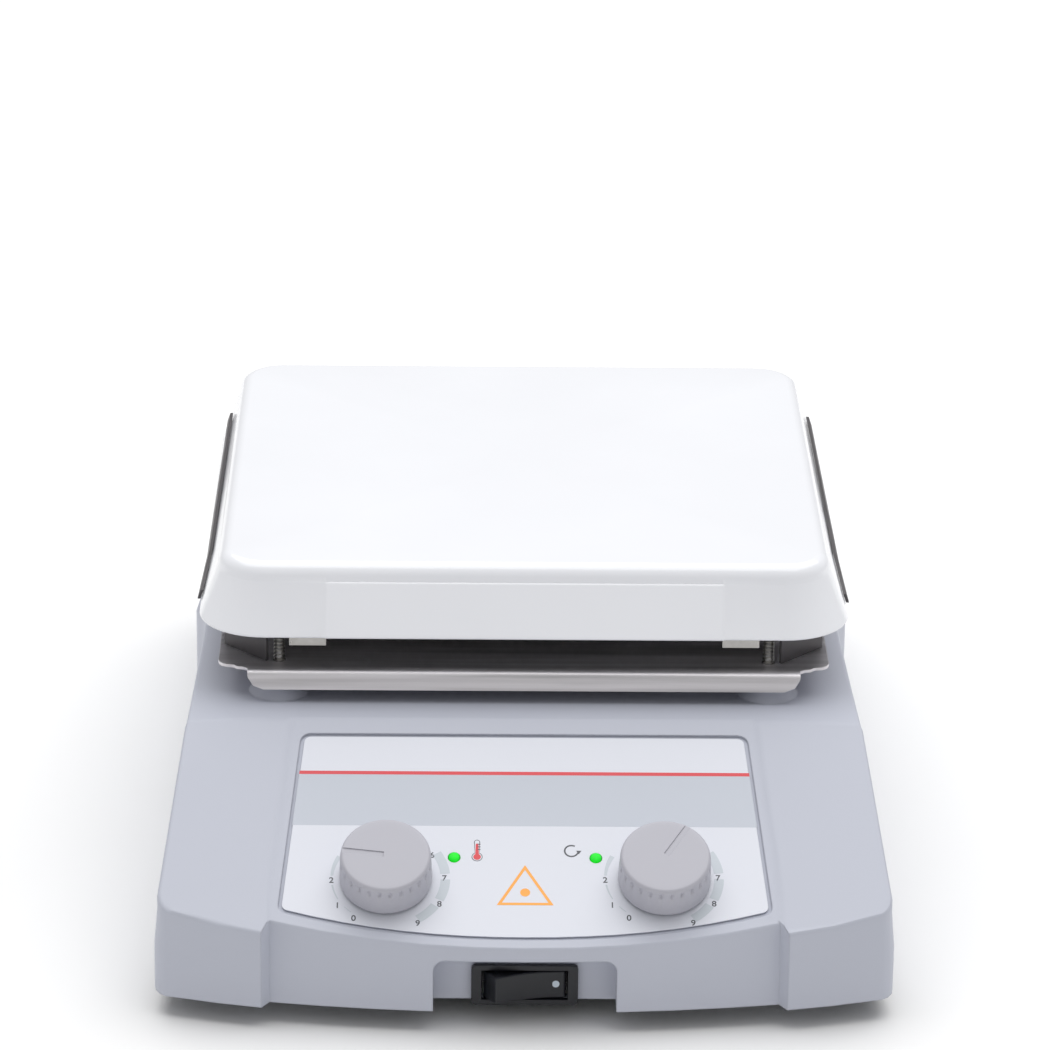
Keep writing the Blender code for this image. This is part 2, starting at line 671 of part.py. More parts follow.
def build_plate():
    outer = []
    top_half = PLATE_TOP_HALF - PLATE_BLEND
    top_radius = PLATE_CORNER - 6 * MM - PLATE_BLEND
    for i in range(6):
        turn = math.radians(78.0 * i / 5)
        half = top_half + PLATE_BLEND * math.sin(turn)
        radius = top_radius + PLATE_BLEND * math.sin(turn)
        outer.append(plate_ring(half, radius, PLATE_TOP - PLATE_BLEND * (1 - math.cos(turn))))
    low_half = outer[-1][0][0]
    rim = PLATE_RIM_HALF
    pad_z = PLATE_TOP - PLATE_BLEND - 1.2 * MM
    outer.append(plate_ring(skirt_half(pad_z), top_radius + PLATE_BLEND + 0.4 * MM, pad_z, PAD_RISE))
    outer.append(plate_ring(rim - 0.3 * MM, PLATE_CORNER - 0.3 * MM, PLATE_RIM_Z + 0.9 * MM, PAD_RISE))
    outer.append(plate_ring(rim, PLATE_CORNER, PLATE_RIM_Z + 0.4 * MM, PAD_RISE))
    outer.append(plate_ring(rim - 0.4 * MM, PLATE_CORNER - 0.4 * MM, PLATE_RIM_Z, PAD_RISE))
    wall = 3.2 * MM
    inner = [
        plate_ring(rim - wall, PLATE_CORNER - wall, PLATE_RIM_Z),
        plate_ring(low_half - wall, PLATE_CORNER - 6 * MM - wall, PLATE_UNDER),
    ]
    rings = outer + inner
    place = Matrix.Translation((0, PLATE_Y, 0))
    piece("top_plate", loft(rings), ((0.85, 0.86, 0.88), 0.12), place, 30)


def build_heater():
    place = Matrix.Translation((0, PLATE_Y, 0))
    top = PLATE_UNDER - GAP
    heater = rounded_box(HEATER_HALF, HEATER_HALF, 8 * MM, top - HEATER_THICK, top)
    element = piece("heater_element", heater, ((0.42, 0.36, 0.25), 0.6), place)
    well = disc(4.6 * MM, top - 2 * HEATER_THICK, top + 1 * MM, 20)
    combine(element, "DIFFERENCE", helper("cut_heater", moved(well, place)))
    top -= HEATER_THICK + GAP
    half = INSULATION_HALF
    pad_shape = rounded_box(half, half, 9 * MM, top - INSULATION_THICK, top)
    pad = piece("insulation_pad", pad_shape, ((0.80, 0.77, 0.70), 0.95), place)
    well = disc(4.6 * MM, top - 2 * INSULATION_THICK, top + 1 * MM, 20)
    combine(pad, "DIFFERENCE", helper("cut_pad", moved(well, place)))
    top -= INSULATION_THICK + GAP
    build_pan(top, place)
    sensor = [
        (2.2 * MM, top + 1.2 * MM),
        (2.2 * MM, PLATE_UNDER - 4 * MM),
        (3.8 * MM, PLATE_UNDER - 3.4 * MM),
        (3.8 * MM, PLATE_UNDER - GAP),
    ]
    piece("temperature_sensor", lathe(sensor, 16), BRASS_LOOK, place, 40)


def build_pan(top, place):
    """Sheet pan under the insulation, with a leg across each corner that stands on the heat shield."""
    half = PAN_HALF
    cut = 14 * MM
    square = [(half, -half + cut), (half, half - cut), (half - cut, half), (-half + cut, half)]
    square += [(-half, half - cut), (-half, -half + cut), (-half + cut, -half), (half - cut, -half)]
    pan = piece("heater_pan", prism(square, top - SHEET, top), DARK_STEEL_LOOK, place)
    uprights = []
    shelves = []
    for side_x, side_y in ((-1, -1), (1, -1), (1, 1), (-1, 1)):
        wall = [(side_x * x, side_y * y) for x, y in leg_outline(LEG_FOOT, SHEET)]
        shelf = [(side_x * x, side_y * y) for x, y in leg_outline(LEG_FOOT, 19 * MM)]
        uprights.append(moved(prism(wall, TRAY_TOP + GAP, top - 0.2 * MM), place))
        shelves.append(moved(prism(shelf, top - SHEET + 0.2 * MM, top - 0.3 * MM), place))
    combine(pan, "UNION", helper("add_shelves", joined(*shelves)))
    combine(pan, "UNION", helper("add_legs", joined(*uprights)))
    holes = [disc(POST_RADIUS + 2 * GAP, top - 3 * MM, top + 2 * MM, 16, x, y) for x, y in POSTS]
    combine(pan, "DIFFERENCE", helper("cut_pan", joined(*holes)))


def leg_outline(foot, deep):
    """A strip across the corner at +X +Y, this deep towards the middle of the plate."""
    (x0, y0), (x1, y1) = foot
    back = deep / math.sqrt(2)
    return [(x0, y0), (x1, y1), (x1 - back, y1 - back), (x0 - back, y0 - back)]


def build_tray():
    """Stainless heat shield: a flat floor with a lip bent down along the front and the rear."""
    place = Matrix.Translation((0, PLATE_Y, 0))
    low = TRAY_TOP - SHEET
    depth = TRAY_HALF_DEPTH - 2.0 * MM
    quarter = []
    corner = 4.0 * MM
    wide = TRAY_HALF_WIDTH
    lip = TRAY_LIP_HALF_WIDTH
    quarter.append((wide, depth - 3.4 * MM - corner))
    for i in range(1, 5):
        turn = math.radians(22.5 * i)
        x = wide - corner + corner * math.cos(turn)
        quarter.append((x, depth - 3.4 * MM - corner + corner * math.sin(turn)))
    quarter += [(lip + 4.4 * MM, depth - 3.2 * MM), (lip + 3.2 * MM, depth - 1.9 * MM)]
    quarter += [(lip + 1.6 * MM, depth - 1.6 * MM), (lip, depth - 0.6 * MM)]
    outline = quarter + [(-x, y) for x, y in reversed(quarter)]
    outline += [(-x, -y) for x, y in quarter] + [(x, -y) for x, y in reversed(quarter)]
    tray = piece("heat_shield", prism(outline, low, TRAY_TOP), STEEL_LOOK, place)
    lips = []
    for side in (-1, 1):
        shape = lip_shape()
        if side > 0:
            shape = turned(shape, math.pi, "Z")
        lips.append(moved(shape, place))
    combine(tray, "UNION", helper("add_lips", joined(*lips)))
    cuts = [disc(SHAFT_HOLE, low - 2 * MM, TRAY_TOP + 2 * MM, 28, 0, PLATE_Y)]
    for x, y in POSTS:
        cuts.append(disc(POST_RADIUS + GAP, low - 2 * MM, TRAY_TOP + 2 * MM, 16, x, y))
    combine(tray, "DIFFERENCE", helper("cut_tray", joined(*cuts)))
    tray.data.shade_smooth()
    tray.data.set_sharp_from_angle(angle=math.radians(40))


def lip_shape():
    """The front lip as a bent strip: its section runs forward, round the bend and down."""
    bend = 2.2 * MM
    face = -TRAY_HALF_DEPTH
    top = TRAY_TOP - 0.02 * MM
    section = []
    start_y = -TRAY_HALF_DEPTH + 2.0 * MM
    section.append((start_y + 1.5 * MM, top))
    steps = 5
    for i in range(steps + 1):
        turn = math.radians(90 * i / steps)
        section.append((face + bend - bend * math.sin(turn), top - bend * (1 - math.cos(turn))))
    bottom = TRAY_TOP - TRAY_LIP_DROP
    section.append((face - 0.5 * MM, bottom + 1.2 * MM))
    section.append((face - 0.8 * MM, bottom))
    inside = []
    thick = SHEET - 0.04 * MM
    for y, z in section:
        inside.append((y + thick, z))
    inside[0] = (section[0][0], section[0][1] - thick)
    for i in range(steps + 1):
        turn = math.radians(90 * i / steps)
        radius = bend - thick
        inside[1 + i] = (face + bend - radius * math.sin(turn), top - bend + radius * math.cos(turn))
    corner = 5.0 * MM
    widths = []
    for y, z in section:
        down = max(bottom + corner - z, 0.0)
        widths.append(TRAY_LIP_HALF_WIDTH - (corner - math.sqrt(max(corner**2 - down**2, 0.0))))
    points = []
    rings = []
    for side in (-1, 1):
        rings.append([(side * w, y, z) for w, (y, z) in zip(widths, section)])
        rings.append([(side * w, y, z) for w, (y, z) in zip(widths, inside)])
    count = len(section)
    for ring in rings:
        points += ring
    faces = []
    for i in range(count - 1):
        a, b, c, d = i, count + i, 2 * count + i, 3 * count + i
        faces.append([a, a + 1, c + 1, c])
        faces.append([b, d, d + 1, b + 1])
        faces.append([a, b, b + 1, a + 1])
        faces.append([c, c + 1, d + 1, d])
    faces.append([0, 2 * count, 3 * count, count])
    faces.append([count - 1, 2 * count - 1, 4 * count - 1, 3 * count - 1])
    return points, faces


def build_posts():
    low = BOSS_TOP - 5.5 * MM
    profile = [(POST_RADIUS - 0.6 * MM, low), (POST_RADIUS, low + 0.6 * MM)]
    z = TRAY_TOP + 0.6 * MM
    profile.append((POST_RADIUS, z - 0.3 * MM))
    while z < POST_TOP - 1.5 * POST_PITCH:
        profile.append((POST_RADIUS - 0.5 * MM, z))
        profile.append((POST_RADIUS, z + 0.5 * POST_PITCH))
        z += POST_PITCH
    profile.append((POST_RADIUS - 0.5 * MM, POST_TOP))
    for x, y in POSTS:
        name = corner_name(x, y, PLATE_Y)
        place = Matrix.Translation((x, y, 0))
        piece("plate_post_" + name, lathe(profile, 10), STEEL_LOOK, place, 60)
        build_clamp(name, x, y)


def build_clamp(name, x, y):
    """Angle clip beside a post, holding the skirt of the plate to it."""
    side = -1 if x < 0 else 1
    row = -1 if y < PLATE_Y else 1
    inner = abs(x) - 14.6 * MM
    outer = abs(x) - 3.1 * MM
    face = 94.6 * MM
    back = face - SHEET
    low = 85.1 * MM
    high = PLATE_RIM_Z + 1.0 * MM
    shelf = 84.0 * MM
    section = [(face, low), (face, high), (back, high)]
    section += [(back, low + SHEET), (shelf, low + SHEET), (shelf, low)]
    rings = []
    for across in (inner, outer):
        rings.append([(side * across, PLATE_Y + row * deep, z) for deep, z in section])
    piece("plate_clip_" + name, loft(rings), STEEL_LOOK)


def build_side_strips():
    """Thin steel strips that lie along the skirt at the left and the right of the plate."""
    outline = [(y * MM, z * MM + STRIP_HEIGHT / 2) for y, z in STRIP_LINE]
    outline += [(y * MM, z * MM - STRIP_HEIGHT / 2) for y, z in reversed(STRIP_LINE)]
    for side in (-1, 1):
        rings = []
        for out in (GAP, GAP + STRIP_THICK):
            rings.append([(side * (skirt_half(z) + out), PLATE_Y + y, z) for y, z in outline])
        piece("side_strip_" + SIDE_NAMES[side], loft(rings), STEEL_LOOK)


def skirt_half(z):
    """Half the width of the plate on the straight part of its skirt, or along that line above it."""
    share = (z - PLATE_RIM_Z) / (PLATE_HEIGHT - PLATE_BLEND)
    return PLATE_RIM_HALF - (PLATE_RIM_HALF - PLATE_TOP_HALF) * share


# ---------------------------------------------------------------- control panel
def build_panel():
    base = -OVERLAY_RECESS + GAP
    shape = prism(overlay_outline(GAP), base, base + OVERLAY_THICK)
    overlay = piece("panel_overlay", shape, ((0.78, 0.80, 0.84), 0.4), PANEL)
    cuts = []
    for side in (-1, 1):
        cuts.append(disc(BUSHING_RADIUS + GAP, -2 * MM, 2 * MM, 20, side * KNOB_X, KNOB_V))
        cuts.append(disc(LED_RADIUS + GAP, -2 * MM, 2 * MM, 16, side * LED_X, LED_V))
    combine(overlay, "DIFFERENCE", helper("cut_overlay", moved(joined(*cuts), PANEL)))
    for side, name in ((-1, "temperature"), (1, "speed")):
        place = PANEL @ Matrix.Translation((side * KNOB_X, KNOB_V, 0))
        build_control(name, place)
        led_place = PANEL @ Matrix.Translation((side * LED_X, LED_V, 0))
        lens = [
            (LED_RADIUS - 0.1 * MM, -11.5 * MM),
            (LED_RADIUS, -11 * MM),
            (LED_RADIUS, 0.1 * MM),
            (LED_RADIUS * 0.8, 0.45 * MM),
            (LED_RADIUS * 0.35, 0.65 * MM),
        ]
        piece("led_" + name, lathe(lens, 16), ((0.02, 0.75, 0.08), 0.2), led_place, 50)
    board = block(118 * MM, 46 * MM, 1.6 * MM, 0, KNOB_V + 6 * MM, -15.0 * MM)
    piece("control_board", board, BOARD_LOOK, PANEL)
    sink = [(-18, 0), (-18, 18)]
    for left in (-16, -8, 2, 10):
        sink += [(left, 18), (left, 3), (left + 6, 3), (left + 6, 18)]
    sink += [(18, 18), (18, 0)]
    outline = [(x * MM, z * MM) for x, z in sink]
    fins = turned(prism(outline, 0, 26 * MM), math.pi / 2, "X")
    place = Matrix.Translation((66 * MM, PLATE_Y - 66 * MM, BASE_Z + BASE_THICK + GAP))
    piece("heat_sink", fins, ((0.35, 0.36, 0.38), 0.4, 1.0), place)


def build_control(name, place):
    """A knob, and the potentiometer that it turns."""
    body = [
        (8.0 * MM, -13.0 * MM),
        (8.0 * MM, -4.2 * MM),
        (BUSHING_RADIUS, -4.2 * MM),
        (BUSHING_RADIUS, 3.4 * MM),
        (SHAFT_RADIUS + GAP, 3.4 * MM),
        (SHAFT_RADIUS + GAP, -6.0 * MM),
    ]
    piece("potentiometer_" + name, lathe(body, 20), ((0.40, 0.40, 0.38), 0.4, 0.7), place, 40)
    shaft = [(SHAFT_RADIUS, -6.0 * MM + GAP), (SHAFT_RADIUS, 8.4 * MM), (SHAFT_RADIUS - 0.5 * MM, 8.9 * MM)]
    piece("shaft_" + name, lathe(shaft, 18), ((0.75, 0.74, 0.72), 0.35, 1.0), place, 40)
    hex_out = circle(7.0 * MM, 6)
    bore = circle(BUSHING_RADIUS + GAP, 6)
    low = GAP
    high = 2.2 * MM
    levels = ((hex_out, low), (hex_out, high), (bore, high), (bore, low))
    rings = [[(x, y, z) for x, y in ring] for ring, z in levels]
    points = [p for ring in rings for p in ring]
    faces = []
    for row in range(4):
        after = (row + 1) % 4
        for i in range(6):
            j = (i + 1) % 6
            faces.append([row * 6 + i, row * 6 + j, after * 6 + j, after * 6 + i])
    nut = piece("nut_" + name, (points, faces), BRASS_LOOK, place)
    hole = disc(BUSHING_RADIUS + GAP, -1 * MM, 4 * MM, 20)
    combine(nut, "DIFFERENCE", helper("cut_nut_" + name, moved(hole, place)))
    build_knob(name, place)


def build_knob(name, place):
    """A round knob with short notches under its top edge and a groove across the top for a pointer."""
    base = 0.8 * MM
    top = base + KNOB_HEIGHT
    count = 4 * KNOB_NOTCHES
    levels = [
        (KNOB_RADIUS - 0.3 * MM, base, 0.0),
        (KNOB_RADIUS, base + 0.4 * MM, 0.0),
        (KNOB_RADIUS - 0.15 * MM, base + 2.4 * MM, 0.0),
        (KNOB_RADIUS - 0.2 * MM, base + 2.8 * MM, 1.0),
        (KNOB_RADIUS - 0.6 * MM, top - 2.2 * MM, 1.0),
        (KNOB_RADIUS - 0.8 * MM, top - 1.4 * MM, 0.3),
        (KNOB_RADIUS - 1.2 * MM, top - 0.6 * MM, 0.0),
        (KNOB_RADIUS - 2.2 * MM, top, 0.0),
    ]
    rings = []
    for radius, z, share in levels:
        ring = []
        for i in range(count):
            turn = 2 * math.pi * i / count
            depth = 0.7 * MM * share if i % 4 == 0 else 0.0
            ring.append(((radius - depth) * math.cos(turn), (radius - depth) * math.sin(turn), z))
        rings.append(ring)
    knob = piece("knob_" + name, loft(rings), KNOB_LOOK, place, 40)
    bore = disc(SHAFT_RADIUS + GAP, base - 1 * MM, 9.2 * MM, 18)
    hollow = disc(8.6 * MM, base - 1 * MM, base + 3.2 * MM, 24)
    combine(knob, "DIFFERENCE", helper("cut_knob_bore_" + name, moved(bore, place)))
    combine(knob, "DIFFERENCE", helper("cut_knob_hollow_" + name, moved(hollow, place)))
    groove = box(-0.45 * MM, 0.45 * MM, 1.0 * MM, KNOB_RADIUS + 1 * MM, top - 0.7 * MM, top + 1 * MM)
    groove = turned(groove, KNOB_TURN[name], "Z")
    combine(knob, "DIFFERENCE", helper("cut_knob_line_" + name, moved(groove, place)))


def build_switch():
    """Rocker switch: a frame clipped into the wall of the front pocket, and the rocker in it."""
    wall = FRONT_Y + NOTCH_DEPTH
    face = wall - BEZEL_PROUD
    facing = Matrix.Translation((0, face, BEZEL_CENTRE_Z)) @ Matrix.Rotation(math.pi / 2, 4, "X")
    half_w = BEZEL_WIDTH / 2
    half_h = BEZEL_HEIGHT / 2
    front = rounded_box(half_w, half_h, 1.4 * MM, -BEZEL_PROUD + GAP, 0, 3)
    frame = piece("switch_frame", front, BLACK_LOOK, facing)
    hole_half_h = (BEZEL_HOLE[1][1] - BEZEL_HOLE[1][0]) / 2
    barrel = block(2 * BEZEL_HOLE[0] - 2 * GAP, 2 * hole_half_h - 2 * GAP, 23 * MM, 0, 0, -24 * MM)
    combine(frame, "UNION", helper("add_barrel", moved(barrel, facing)))
    well = block(ROCKER_WIDTH + 2 * GAP, ROCKER_HEIGHT + 2 * GAP, 14 * MM, 0, 0, -12 * MM)
    combine(frame, "DIFFERENCE", helper("cut_switch", moved(well, facing)))
    rise = 1.9 * MM
    half = ROCKER_WIDTH / 2 - 1.0 * MM
    section = []
    for i in range(9):
        share = -1 + 2 * i / 8
        section.append((share * half, rise * abs(share) ** 1.6 - 0.4 * MM))
    section += [(half - 1.0 * MM, -5.5 * MM), (2.5 * MM, -8.0 * MM)]
    section += [(-2.5 * MM, -8.0 * MM), (-half + 1.0 * MM, -5.5 * MM)]
    rings = [[(x, y, z) for x, z in section] for y in (-ROCKER_HEIGHT / 2, ROCKER_HEIGHT / 2)]
    pivot = facing @ Matrix.Translation((0, 0, -4 * MM))
    rocker = moved(loft(rings), Matrix.Translation((0, 0, 4 * MM)))
    piece("switch_rocker", rocker, BLACK_LOOK, pivot @ Matrix.Rotation(ROCKER_TILT, 4, "Y"), 50)


# ---------------------------------------------------------------- drive
def build_drive():
    here = Matrix.Translation((0, PLATE_Y, 0))
    strap = rounded_box(*BRACKET_HALF, 5 * MM, BRACKET_Z, BRACKET_Z + BRACKET_THICK)
    bracket = piece("motor_bracket", strap, STEEL_LOOK, here)
    holes = [disc(8.0 * MM, BRACKET_Z - 2 * MM, BRACKET_Z + 4 * MM, 24)]
    for sx in (-1, 1):
        for sy in (-1, 1):
            at = (sx * GROMMET_AT[0], sy * GROMMET_AT[1])
            holes.append(disc(3.0 * MM + GAP, BRACKET_Z - 2 * MM, BRACKET_Z + 4 * MM, 16, *at))
            bush = [
                (5.5 * MM, BRACKET_Z - 2.6 * MM),
                (5.5 * MM, BRACKET_Z - GAP),
                (3.0 * MM, BRACKET_Z - GAP),
                (3.0 * MM, BRACKET_Z + BRACKET_THICK + GAP),
                (5.5 * MM, BRACKET_Z + BRACKET_THICK + GAP),
                (5.5 * MM, DECK_Z - WALL - GAP),
            ]
            place = Matrix.Translation((at[0], PLATE_Y + at[1], 0))
            piece("motor_mount_" + corner_name(*at), lathe(bush, 16), RUBBER_LOOK, place, 40)
    combine(bracket, "DIFFERENCE", helper("cut_bracket", moved(joined(*holes), here)))
    top = BRACKET_Z - GAP
    low = top - MOTOR_HEIGHT
    can = [
        (MOTOR_RADIUS - 1.5 * MM, low),
        (MOTOR_RADIUS, low + 1.5 * MM),
        (MOTOR_RADIUS, top - 1.5 * MM),
        (MOTOR_RADIUS - 1.5 * MM, top),
        (6.5 * MM, top),
        (6.5 * MM, top + 3.5 * MM),
        (MOTOR_SHAFT_RADIUS + GAP, top + 3.5 * MM),
        (MOTOR_SHAFT_RADIUS + GAP, top - 12 * MM),
    ]
    piece("motor", lathe(can, 32), ((0.30, 0.31, 0.32), 0.4, 0.9), here, 35)
    carrier_low = TRAY_TOP + 2.4 * MM
    carrier_top = carrier_low + CARRIER_THICK
    shaft = [
        (MOTOR_SHAFT_RADIUS, top - 12 * MM + GAP),
        (MOTOR_SHAFT_RADIUS, carrier_top - 0.4 * MM),
        (MOTOR_SHAFT_RADIUS - 0.4 * MM, carrier_top),
    ]
    piece("motor_shaft", lathe(shaft, 16), ((0.75, 0.74, 0.72), 0.3, 1.0), here, 40)
    bar = rounded_box(CARRIER_HALF_LENGTH, CARRIER_HALF_WIDTH, 8.8 * MM, carrier_low, carrier_top, 6)
    carrier = piece("magnet_carrier", bar, ((0.62, 0.62, 0.63), 0.35, 1.0), here)
    hub = disc(6.0 * MM, carrier_low - 6.0 * MM, carrier_low + 0.5 * MM, 20, 0, PLATE_Y)
    combine(carrier, "UNION", helper("add_hub", hub))
    bore = disc(MOTOR_SHAFT_RADIUS + GAP, carrier_low - 8 * MM, carrier_top + 2 * MM, 16, 0, PLATE_Y)
    combine(carrier, "DIFFERENCE", helper("cut_hub", bore))
    for side in (-1, 1):
        start = carrier_top + GAP
        puck = [
            (MAGNET_RADIUS - 0.5 * MM, start),
            (MAGNET_RADIUS, start + 0.5 * MM),
            (MAGNET_RADIUS, start + MAGNET_HEIGHT - 0.5 * MM),
            (MAGNET_RADIUS - 0.5 * MM, start + MAGNET_HEIGHT),
        ]
        place = Matrix.Translation((side * MAGNET_X, PLATE_Y, 0))
        piece("magnet_" + SIDE_NAMES[side], lathe(puck, 20), MAGNET_LOOK, place, 40)


# ---------------------------------------------------------------- mains side
def build_mains():
    facing = Matrix.Translation((INLET_X, REAR_Y - 2.0 * MM, INLET_Z))
    facing = facing @ Matrix.Rotation(-math.pi / 2, 4, "X")
    half_w = INLET_WIDTH / 2
    half_h = INLET_HEIGHT / 2
    body = rounded_box(half_w, half_h, 1.5 * MM, -22 * MM, 2.0 * MM)
    inlet = piece("mains_inlet", body, BLACK_LOOK, facing)
    well = rounded_box(half_w - 2.4 * MM, half_h - 2.4 * MM, 3.0 * MM, -14 * MM, 4 * MM)
    combine(inlet, "DIFFERENCE", helper("cut_inlet", moved(well, facing)))
    pins = []
    for x, y in ((-7, 2), (0, -2), (7, 2)):
        pins.append(block(4 * MM, 2 * MM, 12 * MM, x * MM, y * MM, -15 * MM))
    combine(inlet, "UNION", helper("add_pins", moved(joined(*pins), facing)))
    facing = Matrix.Translation((FUSE_X, REAR_Y, INLET_Z)) @ Matrix.Rotation(-math.pi / 2, 4, "X")
    body = [
        (FUSE_RADIUS - 1.0 * MM, -24 * MM),
        (FUSE_RADIUS, -23 * MM),
        (FUSE_RADIUS, -0.8 * MM),
        (FUSE_RADIUS - 0.6 * MM, 0),
    ]
    holder = piece("fuse_holder", lathe(body, 24), BLACK_LOOK, facing, 40)
    slot = block(9 * MM, 1.6 * MM, 3 * MM, 0, 0, -1.4 * MM)
    combine(holder, "DIFFERENCE", helper("cut_fuse", moved(slot, facing)))
    floor = BASE_Z + BASE_THICK + GAP
    supply = block(70 * MM, 56 * MM, 1.6 * MM, -58 * MM, REAR_Y - 69 * MM, floor + 4.0 * MM)
    piece("power_board", supply, BOARD_LOOK)
    core = block(34 * MM, 28 * MM, 24 * MM, -68 * MM, REAR_Y - 69 * MM, floor + 5.6 * MM + GAP)
    piece("transformer", core, ((0.55, 0.42, 0.12), 0.5))
    terminals = block(30 * MM, 14 * MM, 12 * MM, 66 * MM, PLATE_Y + 34 * MM, floor)
    strip = piece("terminal_block", terminals, ((0.82, 0.80, 0.74), 0.6))
    holes = []
    for i in range(3):
        holes.append(block(5 * MM, 20 * MM, 5 * MM, (57 + 9 * i) * MM, PLATE_Y + 34 * MM, floor + 4 * MM))
    combine(strip, "DIFFERENCE", helper("cut_terminals", joined(*holes)))


clear_scene()
build_housing()
build_base()
build_plate()
build_heater()
build_tray()
build_posts()
build_side_strips()
build_panel()
build_switch()
build_drive()
build_mains()
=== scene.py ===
import math

import bmesh
import bpy
from mathutils import Matrix, Vector


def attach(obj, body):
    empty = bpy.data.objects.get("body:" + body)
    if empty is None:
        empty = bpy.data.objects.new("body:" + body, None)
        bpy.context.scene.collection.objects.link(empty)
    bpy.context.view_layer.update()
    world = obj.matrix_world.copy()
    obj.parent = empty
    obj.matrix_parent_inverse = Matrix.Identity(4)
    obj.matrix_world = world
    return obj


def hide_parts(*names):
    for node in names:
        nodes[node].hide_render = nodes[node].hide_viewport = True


MM = 0.001
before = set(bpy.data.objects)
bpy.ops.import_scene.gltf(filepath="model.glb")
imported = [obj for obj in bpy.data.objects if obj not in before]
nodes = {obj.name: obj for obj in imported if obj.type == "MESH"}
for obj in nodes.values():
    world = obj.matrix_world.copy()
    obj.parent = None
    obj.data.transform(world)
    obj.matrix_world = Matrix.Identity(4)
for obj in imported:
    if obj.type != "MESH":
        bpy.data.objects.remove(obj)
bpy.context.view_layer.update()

# ---------------------------------------------------------------- camera and light
VIEW_ELEVATION = math.radians(21.10)
VIEW_AZIMUTH = math.radians(-0.8346)
VIEW_ROLL = math.radians(0.6651)
VIEW_TARGET = Vector((1.183, 25.6, 89.06)) * MM
VIEW_DISTANCE = 1.61482
VIEW_FOCAL = 4929.4 / 1050  # in picture widths
SENSOR = 36.0
CLIP_END = 20

WORLD_STRENGTH = 0.47
FLOOR_SIDE = 14
FLOOR_WHITE = 0.93
OVERHEAD = {"place": (0.12, 0.55, 2.3), "at": (0, 0, 0), "size_x": 3.4, "size_y": 3.3, "power": 66}


def add_camera():
    flat = math.cos(VIEW_ELEVATION)
    back = Vector((
        math.sin(VIEW_AZIMUTH) * flat,
        -math.cos(VIEW_AZIMUTH) * flat,
        math.sin(VIEW_ELEVATION),
    ))
    right = (-back).cross(Vector((0, 0, 1))).normalized()
    up = right.cross(-back)
    turned_right = right * math.cos(VIEW_ROLL) + up * math.sin(VIEW_ROLL)
    turned_up = up * math.cos(VIEW_ROLL) - right * math.sin(VIEW_ROLL)
    data = bpy.data.cameras.new("camera")
    data.sensor_width = SENSOR
    data.lens = SENSOR * VIEW_FOCAL
    data.clip_end = CLIP_END
    camera = bpy.data.objects.new("camera", data)
    axes = Matrix((turned_right, turned_up, back)).transposed().to_4x4()
    camera.matrix_world = Matrix.Translation(VIEW_TARGET + back * VIEW_DISTANCE) @ axes
    bpy.context.scene.collection.objects.link(camera)
    bpy.context.scene.camera = camera


def add_area(name, place, at, size_x, size_y, power):
    data = bpy.data.lights.new(name, "AREA")
    data.shape = "RECTANGLE"
    data.size = size_x
    data.size_y = size_y
    data.energy = power
    light = bpy.data.objects.new(name, data)
    light.location = place
    light.rotation_euler = (Vector(at) - Vector(place)).to_track_quat("-Z", "Y").to_euler()
    bpy.context.scene.collection.objects.link(light)


def add_studio():
    world = bpy.data.worlds.new("studio")
    bpy.context.scene.world = world
    world.use_nodes = True
    background = world.node_tree.nodes["Background"]
    background.inputs["Color"].default_value = (1, 1, 1, 1)
    background.inputs["Strength"].default_value = WORLD_STRENGTH
    bpy.ops.mesh.primitive_plane_add(size=FLOOR_SIDE)
    floor = bpy.context.object
    floor.name = "floor"
    look = bpy.data.materials.new("floor")
    look.use_nodes = True
    shader = look.node_tree.nodes["Principled BSDF"]
    shader.inputs["Base Color"].default_value = (FLOOR_WHITE, FLOOR_WHITE, FLOOR_WHITE, 1)
    shader.inputs["Roughness"].default_value = 0.9
    shader.inputs["Specular IOR Level"].default_value = 0.1
    floor.data.materials.append(look)
    add_area("overhead", **OVERHEAD)
    bpy.context.scene.view_settings.view_transform = "Standard"


# ---------------------------------------------------------------- finishes
def shade(colour, share):
    """The colour made darker or lighter by a share of itself, held below white."""
    return (*(min(c * share, 1.0) for c in colour), 1.0)


